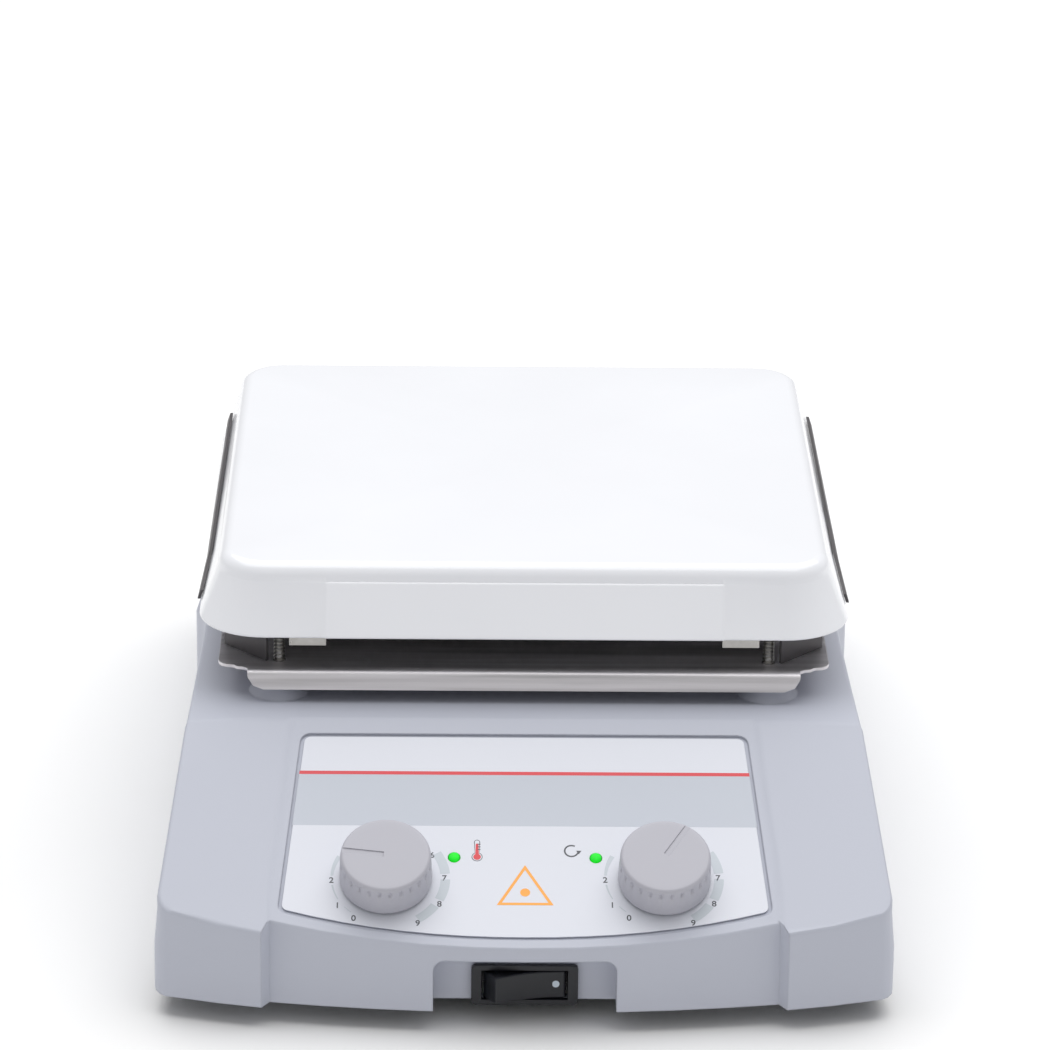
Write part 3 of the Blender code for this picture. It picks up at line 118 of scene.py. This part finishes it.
def finish(name, colour, rough, metallic=0.0, spread=0.04, mottle=45.0, grain=1500.0, bump=0.06,
           rough_spread=0.06, stretch=(1, 1, 1), coat=0.0, edge=0.0, glow=0.0):
    """A procedural finish: uneven colour and sheen from a coarse noise, and fine grain as relief."""
    look = bpy.data.materials.new(name)
    look.use_nodes = True
    tree = look.node_tree
    make, link = tree.nodes.new, tree.links.new
    shader = tree.nodes["Principled BSDF"]
    shader.inputs["Metallic"].default_value = metallic
    shader.inputs["Coat Weight"].default_value = coat
    shader.inputs["Coat Roughness"].default_value = 0.08
    place = make("ShaderNodeTexCoord")
    mapping = make("ShaderNodeMapping")
    mapping.inputs["Scale"].default_value = stretch
    link(place.outputs["Object"], mapping.inputs["Vector"])
    coarse = make("ShaderNodeTexNoise")
    coarse.inputs["Scale"].default_value = mottle
    coarse.inputs["Detail"].default_value = 6
    link(mapping.outputs["Vector"], coarse.inputs["Vector"])
    fine = make("ShaderNodeTexNoise")
    fine.inputs["Scale"].default_value = grain
    fine.inputs["Detail"].default_value = 3
    link(mapping.outputs["Vector"], fine.inputs["Vector"])
    ramp = make("ShaderNodeValToRGB")
    ramp.color_ramp.elements[0].position = 0.3
    ramp.color_ramp.elements[1].position = 0.7
    ramp.color_ramp.elements[0].color = shade(colour, 1 - spread)
    ramp.color_ramp.elements[1].color = shade(colour, 1 + spread)
    link(coarse.outputs["Fac"], ramp.inputs["Fac"])
    link(ramp.outputs["Color"], shader.inputs["Base Color"])
    sheen = make("ShaderNodeMapRange")
    sheen.inputs["From Min"].default_value = 0.3
    sheen.inputs["From Max"].default_value = 0.7
    sheen.inputs["To Min"].default_value = max(rough - rough_spread, 0.02)
    sheen.inputs["To Max"].default_value = min(rough + rough_spread, 1.0)
    link(coarse.outputs["Fac"], sheen.inputs["Value"])
    link(sheen.outputs["Result"], shader.inputs["Roughness"])
    relief = make("ShaderNodeBump")
    relief.inputs["Strength"].default_value = bump
    relief.inputs["Distance"].default_value = 0.1 * MM
    link(fine.outputs["Fac"], relief.inputs["Height"])
    if edge:
        rounded = make("ShaderNodeBevel")
        rounded.samples = 6
        rounded.inputs["Radius"].default_value = edge
        link(rounded.outputs["Normal"], relief.inputs["Normal"])
    link(relief.outputs["Normal"], shader.inputs["Normal"])
    if glow:
        link(ramp.outputs["Color"], shader.inputs["Emission Color"])
        shader.inputs["Emission Strength"].default_value = glow
    return look


SHELL = finish("shell_plastic", (0.518, 0.538, 0.615), 0.52, spread=0.012, mottle=9, grain=1700,
               bump=0.22, rough_spread=0.03, edge=0.7 * MM)
ENAMEL = finish("white_enamel", (0.900, 0.910, 0.950), 0.22, spread=0.01, mottle=14, grain=260,
                bump=0.03, rough_spread=0.05, coat=0.5, edge=0.4 * MM)
LABEL_FILM = finish("label_film", (0.725, 0.742, 0.808), 0.42, spread=0.008, mottle=20, grain=2400,
                    bump=0.05)
KNOB_PLASTIC = finish("knob_plastic", (0.465, 0.462, 0.515), 0.42, spread=0.015, mottle=60,
                      grain=2200, bump=0.12, edge=0.3 * MM)
STEEL = finish("brushed_steel", (0.68, 0.66, 0.68), 0.40, 0.80, spread=0.22, mottle=30, grain=420,
               bump=0.16, rough_spread=0.10, stretch=(0.3, 11, 11), edge=0.2 * MM)
DARK_STEEL = finish("dark_steel", (0.085, 0.080, 0.085), 0.45, 0.55, spread=0.25, mottle=55, grain=700,
                    bump=0.25, rough_spread=0.12)
ROUND_STEEL = finish("stud_steel", (0.45, 0.44, 0.42), 0.32, 1.0, spread=0.15, mottle=260,
                     grain=1800, bump=0.1)
BLACK = finish("black_plastic", (0.008, 0.009, 0.013), 0.40, spread=0.10, mottle=110, grain=1900,
               bump=0.12, edge=0.3 * MM)
RUBBER = finish("rubber", (0.022, 0.022, 0.022), 0.85, spread=0.2, mottle=140, grain=900, bump=0.5)
BRASS = finish("brass", (0.62, 0.44, 0.18), 0.33, 1.0, spread=0.12, mottle=130, grain=900, bump=0.12)
BOARD = finish("board_lacquer", (0.015, 0.13, 0.06), 0.35, spread=0.25, mottle=90, grain=500,
               bump=0.3, coat=0.4)
PAINT = finish("grey_paint", (0.33, 0.34, 0.36), 0.45, spread=0.06, mottle=50, grain=800, bump=0.2)
ALUMINIUM = finish("aluminium", (0.55, 0.56, 0.58), 0.38, 0.9, spread=0.08, mottle=70, grain=600,
                   bump=0.15, stretch=(1, 8, 1))
CERAMIC = finish("bare_ceramic", (0.62, 0.57, 0.46), 0.75, spread=0.10, mottle=80, grain=700, bump=0.35)
FIBRE = finish("fibre_pad", (0.74, 0.70, 0.62), 0.95, spread=0.12, mottle=120, grain=420, bump=0.9,
               stretch=(1, 3, 1))
LAMINATE = finish("iron_laminate", (0.30, 0.24, 0.15), 0.5, 0.4, spread=0.15, mottle=40, grain=900,
                  bump=0.4, stretch=(1, 1, 12))
MAGNET = finish("ferrite", (0.09, 0.09, 0.10), 0.5, 0.4, spread=0.15, mottle=180, grain=900, bump=0.25)
GREEN_LENS = finish("green_lens", (0.0, 0.60, 0.012), 0.6, spread=0.12, mottle=500, grain=1500,
                    bump=0.05, glow=0.55)
BAND_INK = finish("band_ink", (0.540, 0.572, 0.640), 0.45, spread=0.01, mottle=25, grain=2400,
                  bump=0.05)


def ink(name, colour, spread=0.03):
    return finish(name, colour, 0.5, spread=spread, mottle=90, grain=2400, bump=0.05)


RED_INK = ink("red_ink", (0.73, 0.065, 0.080))
DIAL_INK = ink("dial_ink", (0.575, 0.620, 0.665), 0.02)
DARK_INK = ink("dark_ink", (0.085, 0.090, 0.105), 0.06)
AMBER_INK = ink("amber_ink", (0.98, 0.42, 0.075))
PALE_INK = ink("pale_ink", (0.56, 0.63, 0.70))

# node name or its beginning, finish, width of its rounded edges in mm; the first line that fits is used
NODE_LOOKS = (
    ("housing", SHELL, 0.0),
    ("base_plate", PAINT, 0.2),
    ("base_screw", ROUND_STEEL, 0.2),
    ("foot", RUBBER, 0.3),
    ("heater_element", CERAMIC, 0.25),
    ("insulation_pad", FIBRE, 0.5),
    ("heater_pan", DARK_STEEL, 0.12),
    ("heat_shield", STEEL, 0.12),
    ("temperature_sensor", BRASS, 0.15),
    ("plate_post", ROUND_STEEL, 0.0),
    ("plate_clip", ROUND_STEEL, 0.15),
    ("side_strip", DARK_STEEL, 0.25),
    ("panel_overlay", LABEL_FILM, 0.1),
    ("shaft", ROUND_STEEL, 0.15),
    ("potentiometer", ALUMINIUM, 0.2),
    ("nut", BRASS, 0.2),
    ("control_board", BOARD, 0.15),
    ("power_board", BOARD, 0.15),
    ("heat_sink", ALUMINIUM, 0.2),
    ("switch_frame", BLACK, 0.25),
    ("switch_rocker", BLACK, 0.4),
    ("motor_mount", RUBBER, 0.2),
    ("motor_bracket", STEEL, 0.2),
    ("motor_shaft", ROUND_STEEL, 0.1),
    ("motor", PAINT, 0.5),
    ("magnet_carrier", ALUMINIUM, 0.3),
    ("magnet", MAGNET, 0.3),
    ("mains_inlet", BLACK, 0.4),
    ("fuse_holder", BLACK, 0.3),
    ("transformer", LAMINATE, 0.5),
    ("terminal_block", CERAMIC, 0.3),
    ("led", GREEN_LENS, 0.0),
    ("knob", KNOB_PLASTIC, 0.2),
    ("top_plate", ENAMEL, 0.0),
)


WELD_REACH = 0.002 * MM
BEVEL_ANGLE = math.radians(40)
CREASE_ANGLE = math.radians(35)


def dress(name, node):
    """Gives a carried-over node its finish, welded corners, softly rounded edges and even shading."""
    look, width = next((look, width) for key, look, width in NODE_LOOKS if name.startswith(key))
    if "custom_normal" in node.data.attributes:
        node.data.attributes.remove(node.data.attributes["custom_normal"])
    node.data.polygons.foreach_set("use_smooth", [True] * len(node.data.polygons))
    node.data.materials.clear()
    node.data.materials.append(look)
    weld = node.modifiers.new("weld", "WELD")
    weld.merge_threshold = WELD_REACH
    if width:
        bevel = node.modifiers.new("edges", "BEVEL")
        bevel.width = width * MM
        bevel.segments = 2
        bevel.limit_method = "ANGLE"
        bevel.angle_limit = BEVEL_ANGLE
        bevel.use_clamp_overlap = True
    split = node.modifiers.new("creases", "EDGE_SPLIT")
    split.split_angle = CREASE_ANGLE
    even = node.modifiers.new("shading", "WEIGHTED_NORMAL")
    even.keep_sharp = True


# ---------------------------------------------------------------- shapes
def skin(name, points, faces):
    """A mesh of these faces, all facing outwards, as an object in the scene."""
    mesh = bpy.data.meshes.new(name)
    mesh.from_pydata([tuple(p) for p in points], [], faces)
    shape = bmesh.new()
    shape.from_mesh(mesh)
    bmesh.ops.recalc_face_normals(shape, faces=shape.faces)
    shape.to_mesh(mesh)
    shape.free()
    thing = bpy.data.objects.new(name, mesh)
    bpy.context.scene.collection.objects.link(thing)
    return thing


def smooth(mesh, crease):
    """Smooth shading, with an edge left sharp where it turns by more than crease degrees."""
    mesh.shade_smooth()
    mesh.set_sharp_from_angle(angle=math.radians(crease))


def add_piece(name, points, faces, look, body, stands_for=(), crease=35):
    thing = skin(name, points, faces)
    thing.data.materials.append(look)
    smooth(thing.data, crease)
    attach(thing, body)
    if stands_for:
        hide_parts(*stands_for)
    return thing


def loft(rings):
    """Points and faces of a skin through rings of equal length, capped at both ends."""
    count = len(rings[0])
    points = [p for ring in rings for p in ring]
    faces = []
    for row in range(len(rings) - 1):
        for i in range(count):
            j = (i + 1) % count
            a = row * count
            faces.append([a + i, a + j, a + count + j, a + count + i])
    faces.append(list(range(count))[::-1])
    faces.append(list(range(len(points) - count, len(points))))
    return points, faces


def placed(points, matrix):
    return [matrix @ Vector(p) for p in points]


CORNER_STEPS = 14


def rounded_square(half, radius, z):
    ring = []
    for turn, (sx, sy) in enumerate(((1, 1), (-1, 1), (-1, -1), (1, -1))):
        for i in range(CORNER_STEPS + 1):
            angle = math.radians(90 * turn + 90 * i / CORNER_STEPS)
            x = sx * (half - radius) + radius * math.cos(angle)
            ring.append((x, sy * (half - radius) + radius * math.sin(angle), z))
    return ring


def final_mesh(thing):
    """A new mesh of the object as its modifiers leave it."""
    bpy.context.view_layer.update()
    graph = bpy.context.evaluated_depsgraph_get()
    return bpy.data.meshes.new_from_object(thing.evaluated_get(graph))


def cut(thing, points, faces):
    """Takes a closed shape away from a piece for good."""
    cutter = skin("cutter", points, faces)
    step = thing.modifiers.new("cut", "BOOLEAN")
    step.object = cutter
    step.solver = "EXACT"
    made = final_mesh(thing)
    thing.modifiers.clear()
    thing.data = made
    smooth(made, 35)
    bpy.data.objects.remove(cutter)


# ---------------------------------------------------------------- heated plate
PLATE_TOP = 112.0 * MM
PLATE_Y = 25.6 * MM
PLATE_TOP_HALF = 95.2 * MM
PLATE_RIM_HALF = 101.2 * MM
PLATE_RIM_Z = 90.2 * MM
PLATE_UNDER = 106.0 * MM
PLATE_BLEND = 4.5 * MM
PLATE_CORNER = 21.0 * MM
PLATE_TAPER = 6.0 * MM  # how much the corner radius grows from the top of the skirt to the rim
PLATE_WALL = 3.2 * MM
PAD_HALF_WIDTH = 61.0 * MM  # a raised field on the front skirt
PAD_RISE = 0.5 * MM
PAD_DROP = 1.2 * MM  # from the end of the blend to the field's upper edge
RIM_LEVELS = ((0.3, 0.9), (0.08, 0.65), (0.0, 0.4), (0.12, 0.15), (0.4, 0.0))  # mm inwards, mm up
FRONT_START = 3 * (CORNER_STEPS + 1)  # the point of a ring after which its front side runs


def plate_level(half, radius, z, rise=0.0):
    """One ring of the plate, with the field on its front side standing out by rise."""
    ring = rounded_square(half, radius, z)
    pad = [
        (-PAD_HALF_WIDTH - 1.2 * MM, -half, z),
        (-PAD_HALF_WIDTH - 0.3 * MM, -half - 0.8 * rise, z),
        (-PAD_HALF_WIDTH, -half - rise, z),
    ]
    pad += [(-x, y, z) for x, y, z in reversed(pad)]
    return ring[:FRONT_START] + pad + ring[FRONT_START:]


def add_plate():
    """The enamelled plate: top, blend, slanted skirt with a raised field in front, rim and underside."""
    top_half = PLATE_TOP_HALF - PLATE_BLEND
    radius = PLATE_CORNER - PLATE_TAPER - PLATE_BLEND
    rings = [[(x * 0.05, y * 0.05, PLATE_TOP) for x, y, z in plate_level(top_half, radius, 0)]]
    for i in range(13):
        turn = math.radians(78.0 * i / 12)
        out = PLATE_BLEND * math.sin(turn)
        down = PLATE_BLEND * (1 - math.cos(turn))
        rings.append(plate_level(top_half + out, radius + out, PLATE_TOP - down))
    low_half = rings[-1][0][0]
    pad_z = PLATE_TOP - PLATE_BLEND - PAD_DROP
    share = (pad_z - PLATE_RIM_Z) / (PLATE_TOP - PLATE_BLEND - PLATE_RIM_Z)
    skirt = PLATE_RIM_HALF - (PLATE_RIM_HALF - PLATE_TOP_HALF) * share
    corner = radius + PLATE_BLEND + 0.4 * MM
    rings.append(plate_level(skirt - 0.15 * MM, corner, pad_z + 0.45 * MM, 0.0))
    rings.append(plate_level(skirt - 0.1 * MM, corner, pad_z + 0.3 * MM, 0.35 * MM))
    rings.append(plate_level(skirt, corner, pad_z, PAD_RISE))
    for inset, up in RIM_LEVELS:
        half = PLATE_RIM_HALF - inset * MM
        rings.append(plate_level(half, PLATE_CORNER - inset * MM, PLATE_RIM_Z + up * MM, PAD_RISE))
    inner_corner = PLATE_CORNER - PLATE_WALL
    rings.append(plate_level(PLATE_RIM_HALF - PLATE_WALL, inner_corner, PLATE_RIM_Z))
    rings.append(plate_level(low_half - PLATE_WALL, inner_corner - PLATE_TAPER, PLATE_UNDER))
    points, faces = loft(rings)
    points = placed(points, Matrix.Translation((0, PLATE_Y, 0)))
    add_piece("enamel_plate", points, faces, ENAMEL, "stirrer_base", ("top_plate",), 50)


# ---------------------------------------------------------------- knobs and lamps
PANEL = Matrix.Translation((0, -165.0 * MM, 27.8 * MM)) @ Matrix.Rotation(math.radians(28.0), 4, "X")
KNOB_X, KNOB_V = 41.7 * MM, 26.2 * MM
KNOB_RADIUS, KNOB_BASE, KNOB_TOP = 13.9 * MM, 0.8 * MM, 11.8 * MM
KNOB_NOTCHES = 26
NOTCH_DEPTH = 0.6 * MM
NOTCH_SHAPE = (1.0, 0.55, 0, 0, 0, 0, 0, 0, 0, 0.55)  # share of the depth at the points of one notch
POINTER_HALF_WIDTH = 0.9 * MM
POINTER_DEPTH = 0.28 * MM
LAMP_X, LAMP_V = 21.3 * MM, 34.2 * MM
LAMP_RADIUS = 1.65 * MM
LAMP_PROFILE = (  # share of the radius, mm up
    (1.0, -3.0), (1.0, 0.0), (0.98, 0.15), (0.9, 0.32),
    (0.75, 0.46), (0.5, 0.58), (0.25, 0.63), (0.02, 0.65),
)
FILM_TOP = -0.1 * MM  # the label's face below the panel's own plane


def add_knob(name, side, pointer):
    """A notched knob with a domed edge and a pointer groove; pointer is the groove's angle at rest."""
    place = PANEL @ Matrix.Translation((side * KNOB_X, KNOB_V, 0))
    # mm outwards, mm up, share of the notch depth
    levels = [(-1.6, 0.0, 0), (-0.25, 0.0, 0), (0.0, 0.25, 0), (-0.03, 1.0, 0), (-0.22, 6.9, 0)]
    levels += [(-0.24, 7.2, 0.4), (-0.25, 7.5, 1), (-0.3, 9.0, 1), (-0.32, 9.4, 0.5), (-0.35, 9.75, 0)]
    for i in range(7):
        turn = math.radians(15 * i)
        levels.append((-0.4 - 1.1 * (1 - math.cos(turn)), 9.9 + 1.1 * math.sin(turn), 0))
    levels += [(-3.2, 11.0, 0), (-13.3, 11.0, 0)]
    rings = []
    count = KNOB_NOTCHES * len(NOTCH_SHAPE)
    for out, up, share in levels:
        ring = []
        for i in range(count):
            turn = 2 * math.pi * i / count
            depth = NOTCH_DEPTH * share * NOTCH_SHAPE[i % len(NOTCH_SHAPE)]
            radius = KNOB_RADIUS + out * MM - depth
            ring.append((radius * math.cos(turn), radius * math.sin(turn), KNOB_BASE + up * MM))
        rings.append(ring)
    points, faces = loft(rings)
    knob = add_piece("knob_cap_" + name, placed(points, place), faces, KNOB_PLASTIC, name + "_knob",
                     ("knob_" + name,), 32)
    half, start, end = POINTER_HALF_WIDTH, 0.6 * MM, 15 * MM
    line = [(-half, start), (half, start), (half, end), (-half, end)]
    heights = (KNOB_TOP - POINTER_DEPTH, KNOB_TOP + 1 * MM)
    points, faces = loft([[(x, y, z) for x, y in line] for z in heights])
    cut(knob, placed(points, place @ Matrix.Rotation(pointer, 4, "Z")), faces)


def add_lamp(name, side):
    place = PANEL @ Matrix.Translation((side * LAMP_X, LAMP_V, 0))
    rings = []
    for share, up in LAMP_PROFILE:
        radius = LAMP_RADIUS * share
        turns = [i * math.pi / 24 for i in range(48)]
        rings.append([(radius * math.cos(t), radius * math.sin(t), up * MM) for t in turns])
    points, faces = loft(rings)
    add_piece("lamp_" + name, placed(points, place), faces, GREEN_LENS, "stirrer_base",
              ("led_" + name,), 60)


# ---------------------------------------------------------------- print on the label
PRINT = 0.03 * MM
LABEL_TOP_V, LABEL_TOP_HALF = 80.5, 67.5  # mm up the slope, and the half width there in mm
LABEL_SLANT = (73.0 - LABEL_TOP_HALF) / (LABEL_TOP_V - 14.4)  # the label widens towards its lower edge
STRIPE_GAP = 0.12  # mm from the end of a stripe to the label's side
BAND = (46.1, 65.7)  # mm up the slope
RED_LINE = (65.6, 66.9)
DIGIT_SIZE = 2.9 * MM
DIALS = (("left", -41.7, 26.2), ("right", 40.3, 26.8))
DIAL_DIGITS = (
    ("2", -16.3, -0.9), ("1", -14.3, -10.2), ("0", -9.4, -14.9), ("9", 9.7, -16.6),
    ("8", 16.1, -9.5), ("7", 17.5, 0.1), ("6", 13.8, 8.7),
)
THIN_ARCS = ((150, 177), (189, 209), (221, 231))  # degrees
THICK_ARCS = ((32, 6), (-1, -26), (-34, -57))
THIN_RADIUS, THICK_INNER, THICK_OUTER = 16.2, 16.4, 19.3
HEAT_X, HEAT_V = -14.4, 34.4
TURN_X, TURN_V = 14.0, 36.8


def label_half(v):
    """Half the label's width at v mm up the slope."""
    return (LABEL_TOP_HALF + LABEL_SLANT * (LABEL_TOP_V - v)) * MM


def add_stripe(name, low, high, look, lift):
    """A stripe across the whole label."""
    a, b = (label_half(v) / MM - STRIPE_GAP for v in (low, high))
    add_print(name, [(-a, low), (a, low), (b, high), (-b, high)], look, lift)


def add_print(name, outline, look, lift=1.0, hole=None):
    """A printed shape: an outline on the label in mm, or the band between it and a hole in it."""
    low, high = FILM_TOP + 0.002 * MM, FILM_TOP + PRINT * lift
    if hole is None:
        points, faces = loft([[(x * MM, v * MM, z) for x, v in outline] for z in (low, high)])
    else:
        count = len(outline)
        points, faces = [], []
        for ring, z in ((outline, low), (outline, high), (hole, high), (hole, low)):
            points += [(x * MM, v * MM, z) for x, v in ring]
        for row in range(4):
            after = (row + 1) % 4
            a, b = row * count, after * count
            for i in range(count):
                j = (i + 1) % count
                faces.append([a + i, a + j, b + j, b + i])
    add_piece(name, placed(points, PANEL), faces, look, "stirrer_base")


def arc(radius, start, end, steps, x=0.0, v=0.0):
    """Points in mm from the angle start to the angle end, in degrees."""
    turns = [math.radians(start + (end - start) * i / steps) for i in range(steps + 1)]
    return [(x + radius * math.cos(t), v + radius * math.sin(t)) for t in turns]


def add_digit(name, text, x, v):
    data = bpy.data.curves.new(name, "FONT")
    data.body = text
    data.size = DIGIT_SIZE
    data.align_x = "CENTER"
    data.align_y = "CENTER"
    data.extrude = PRINT / 2
    data.offset = 0.05 * MM
    data.materials.append(DARK_INK)
    digit = bpy.data.objects.new(name, data)
    bpy.context.scene.collection.objects.link(digit)
    mesh = final_mesh(digit)
    bpy.data.objects.remove(digit)
    mesh.transform(PANEL @ Matrix.Translation((x * MM, v * MM, FILM_TOP + PRINT / 2)))
    shown = bpy.data.objects.new(name, mesh)
    bpy.context.scene.collection.objects.link(shown)
    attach(shown, "stirrer_base")


def thin_arc(start, end, x, v):
    """One of the arcs that together narrow from the first angle of the dial to the last."""
    first, last = THIN_ARCS[0][0], THIN_ARCS[-1][1]
    outline = []
    for side in (1, -1):
        for step in range(13)[::side]:
            angle = start + (end - start) * step / 12
            radius = THIN_RADIUS + side * (0.12 + 0.65 * ((last - angle) / (last - first)) ** 2)
            outline += arc(radius, angle, angle, 1, x, v)[:1]
    return outline


def add_dial(name, x0, v0):
    for text, x, v in DIAL_DIGITS:
        add_digit(f"dial_{name}_{text}", text, x0 + x, v0 + v)
    for i, (start, end) in enumerate(THIN_ARCS):
        add_print(f"dial_{name}_arc_{i}", thin_arc(start, end, x0, v0), DIAL_INK)
    for i, (start, end) in enumerate(THICK_ARCS):
        outline = arc(THICK_OUTER, start, end, 10, x0, v0) + arc(THICK_INNER, end, start, 10, x0, v0)
        add_print(f"dial_{name}_step_{i}", outline, DIAL_INK)


def add_heat_mark():
    """A thermometer: outline, pale inside, red filling and three ticks."""
    for name, wide, look, lift in (("", 0.0, DARK_INK, 0.9), ("_inside", 0.22, LABEL_FILM, 1.2)):
        bulb = arc(1.65 - wide, 115, 425, 24, HEAT_X, HEAT_V)
        stem = arc(0.92 - wide, 0, 180, 10, HEAT_X, HEAT_V + 5.5)
        add_print("mark_heat" + name, bulb + stem, look, lift)
    bulb = arc(1.15, 118, 422, 24, HEAT_X, HEAT_V)
    stem = arc(0.42, 0, 180, 10, HEAT_X, HEAT_V + 4.6)
    add_print("mark_heat_fill", bulb + stem, RED_INK, 1.6)
    left, right = HEAT_X + 0.1, HEAT_X + 1.0
    for i in range(3):
        v = HEAT_V + 2.6 + i
        outline = [(left, v), (right, v), (right, v + 0.3), (left, v + 0.3)]
        add_print(f"mark_heat_tick_{i}", outline, DARK_INK, 2.0)


def add_turn_mark():
    """An open ring with an arrow tip."""
    outline = arc(2.3, 60, 360, 30, TURN_X, TURN_V) + arc(1.8, 360, 60, 30, TURN_X, TURN_V)
    add_print("mark_turn", outline, DARK_INK)
    add_print("mark_turn_tip", [(15.4, 36.9), (17.0, 36.9), (16.2, 35.6)], DARK_INK, 1.2)


def add_label_print():
    add_stripe("grey_band", *BAND, BAND_INK, 0.6)
    add_stripe("red_line", *RED_LINE, RED_INK, 0.8)
    for name, x, v in DIALS:
        add_dial(name, x, v)
    outer = [(0.0, 31.4), (8.5, 16.5), (-8.5, 16.5)]
    inner = [(0.0, 29.6), (6.95, 17.4), (-6.95, 17.4)]
    add_print("hot_triangle", outer, AMBER_INK, hole=inner)
    add_print("hot_dot", arc(1.5, 0, 345, 23, 0, 21.2), AMBER_INK)
    add_heat_mark()
    add_turn_mark()


# ---------------------------------------------------------------- mains switch
ROCKER_SECTION = (  # mm to the right, mm out from the face of the frame; the left end stands out
    (12.3, -1.6), (12.1, -0.8), (11.6, -0.45), (9.5, -0.35), (6.5, -0.15), (3.5, 0.25),
    (0.5, 0.95), (-2.5, 1.95), (-5.5, 3.2), (-8.0, 4.35), (-8.4, 4.5), (-8.75, 4.3),
    (-11.7, 0.1), (-12.2, -1.2), (-12.0, -3.6), (12.0, -3.6),
)
ROCKER_ENDS = ((-1.0, 0.35), (-0.93, 0.08), (-0.8, 0.0), (0.8, 0.0), (0.93, 0.08), (1.0, 0.35))
ROCKER_HALF_HEIGHT = 4.4 * MM
FRAME_FACE_Y, FRAME_MID_Z = -157.4 * MM, 12.4 * MM
DOT_RADIUS = 1.1 * MM
DOT_X, DOT_Z = 9.3 * MM, FRAME_MID_Z + 0.3 * MM


def add_rocker():
    """The rocker of the switch: a hollowed face, a ridge at one end and a pale dot on the other."""
    rings = []
    for share, shrink in ROCKER_ENDS:
        z = FRAME_MID_Z + share * ROCKER_HALF_HEIGHT
        rings.append([(x * MM, FRAME_FACE_Y - (out - shrink) * MM, z) for x, out in ROCKER_SECTION])
    points, faces = loft(rings)
    add_piece("rocker_cap", points, faces, BLACK, "rocker", ("switch_rocker",), 24)
    turns = [i * math.pi / 20 for i in range(40)]
    dot = [(DOT_X + DOT_RADIUS * math.cos(t), DOT_Z + DOT_RADIUS * math.sin(t)) for t in turns]
    depths = (0.7 * MM, 0.27 * MM)
    points, faces = loft([[(x, FRAME_FACE_Y + depth, z) for x, z in dot] for depth in depths])
    add_piece("rocker_dot", points, faces, PALE_INK, "rocker")


# ---------------------------------------------------------------- assembly
for node_name, node in nodes.items():
    dress(node_name, node)
bpy.context.view_layer.update()
add_plate()
add_knob("temperature", -1, math.radians(83))
add_knob("speed", 1, math.radians(-32))
add_lamp("temperature", -1)
add_lamp("speed", 1)
add_label_print()
add_rocker()
add_camera()
add_studio()
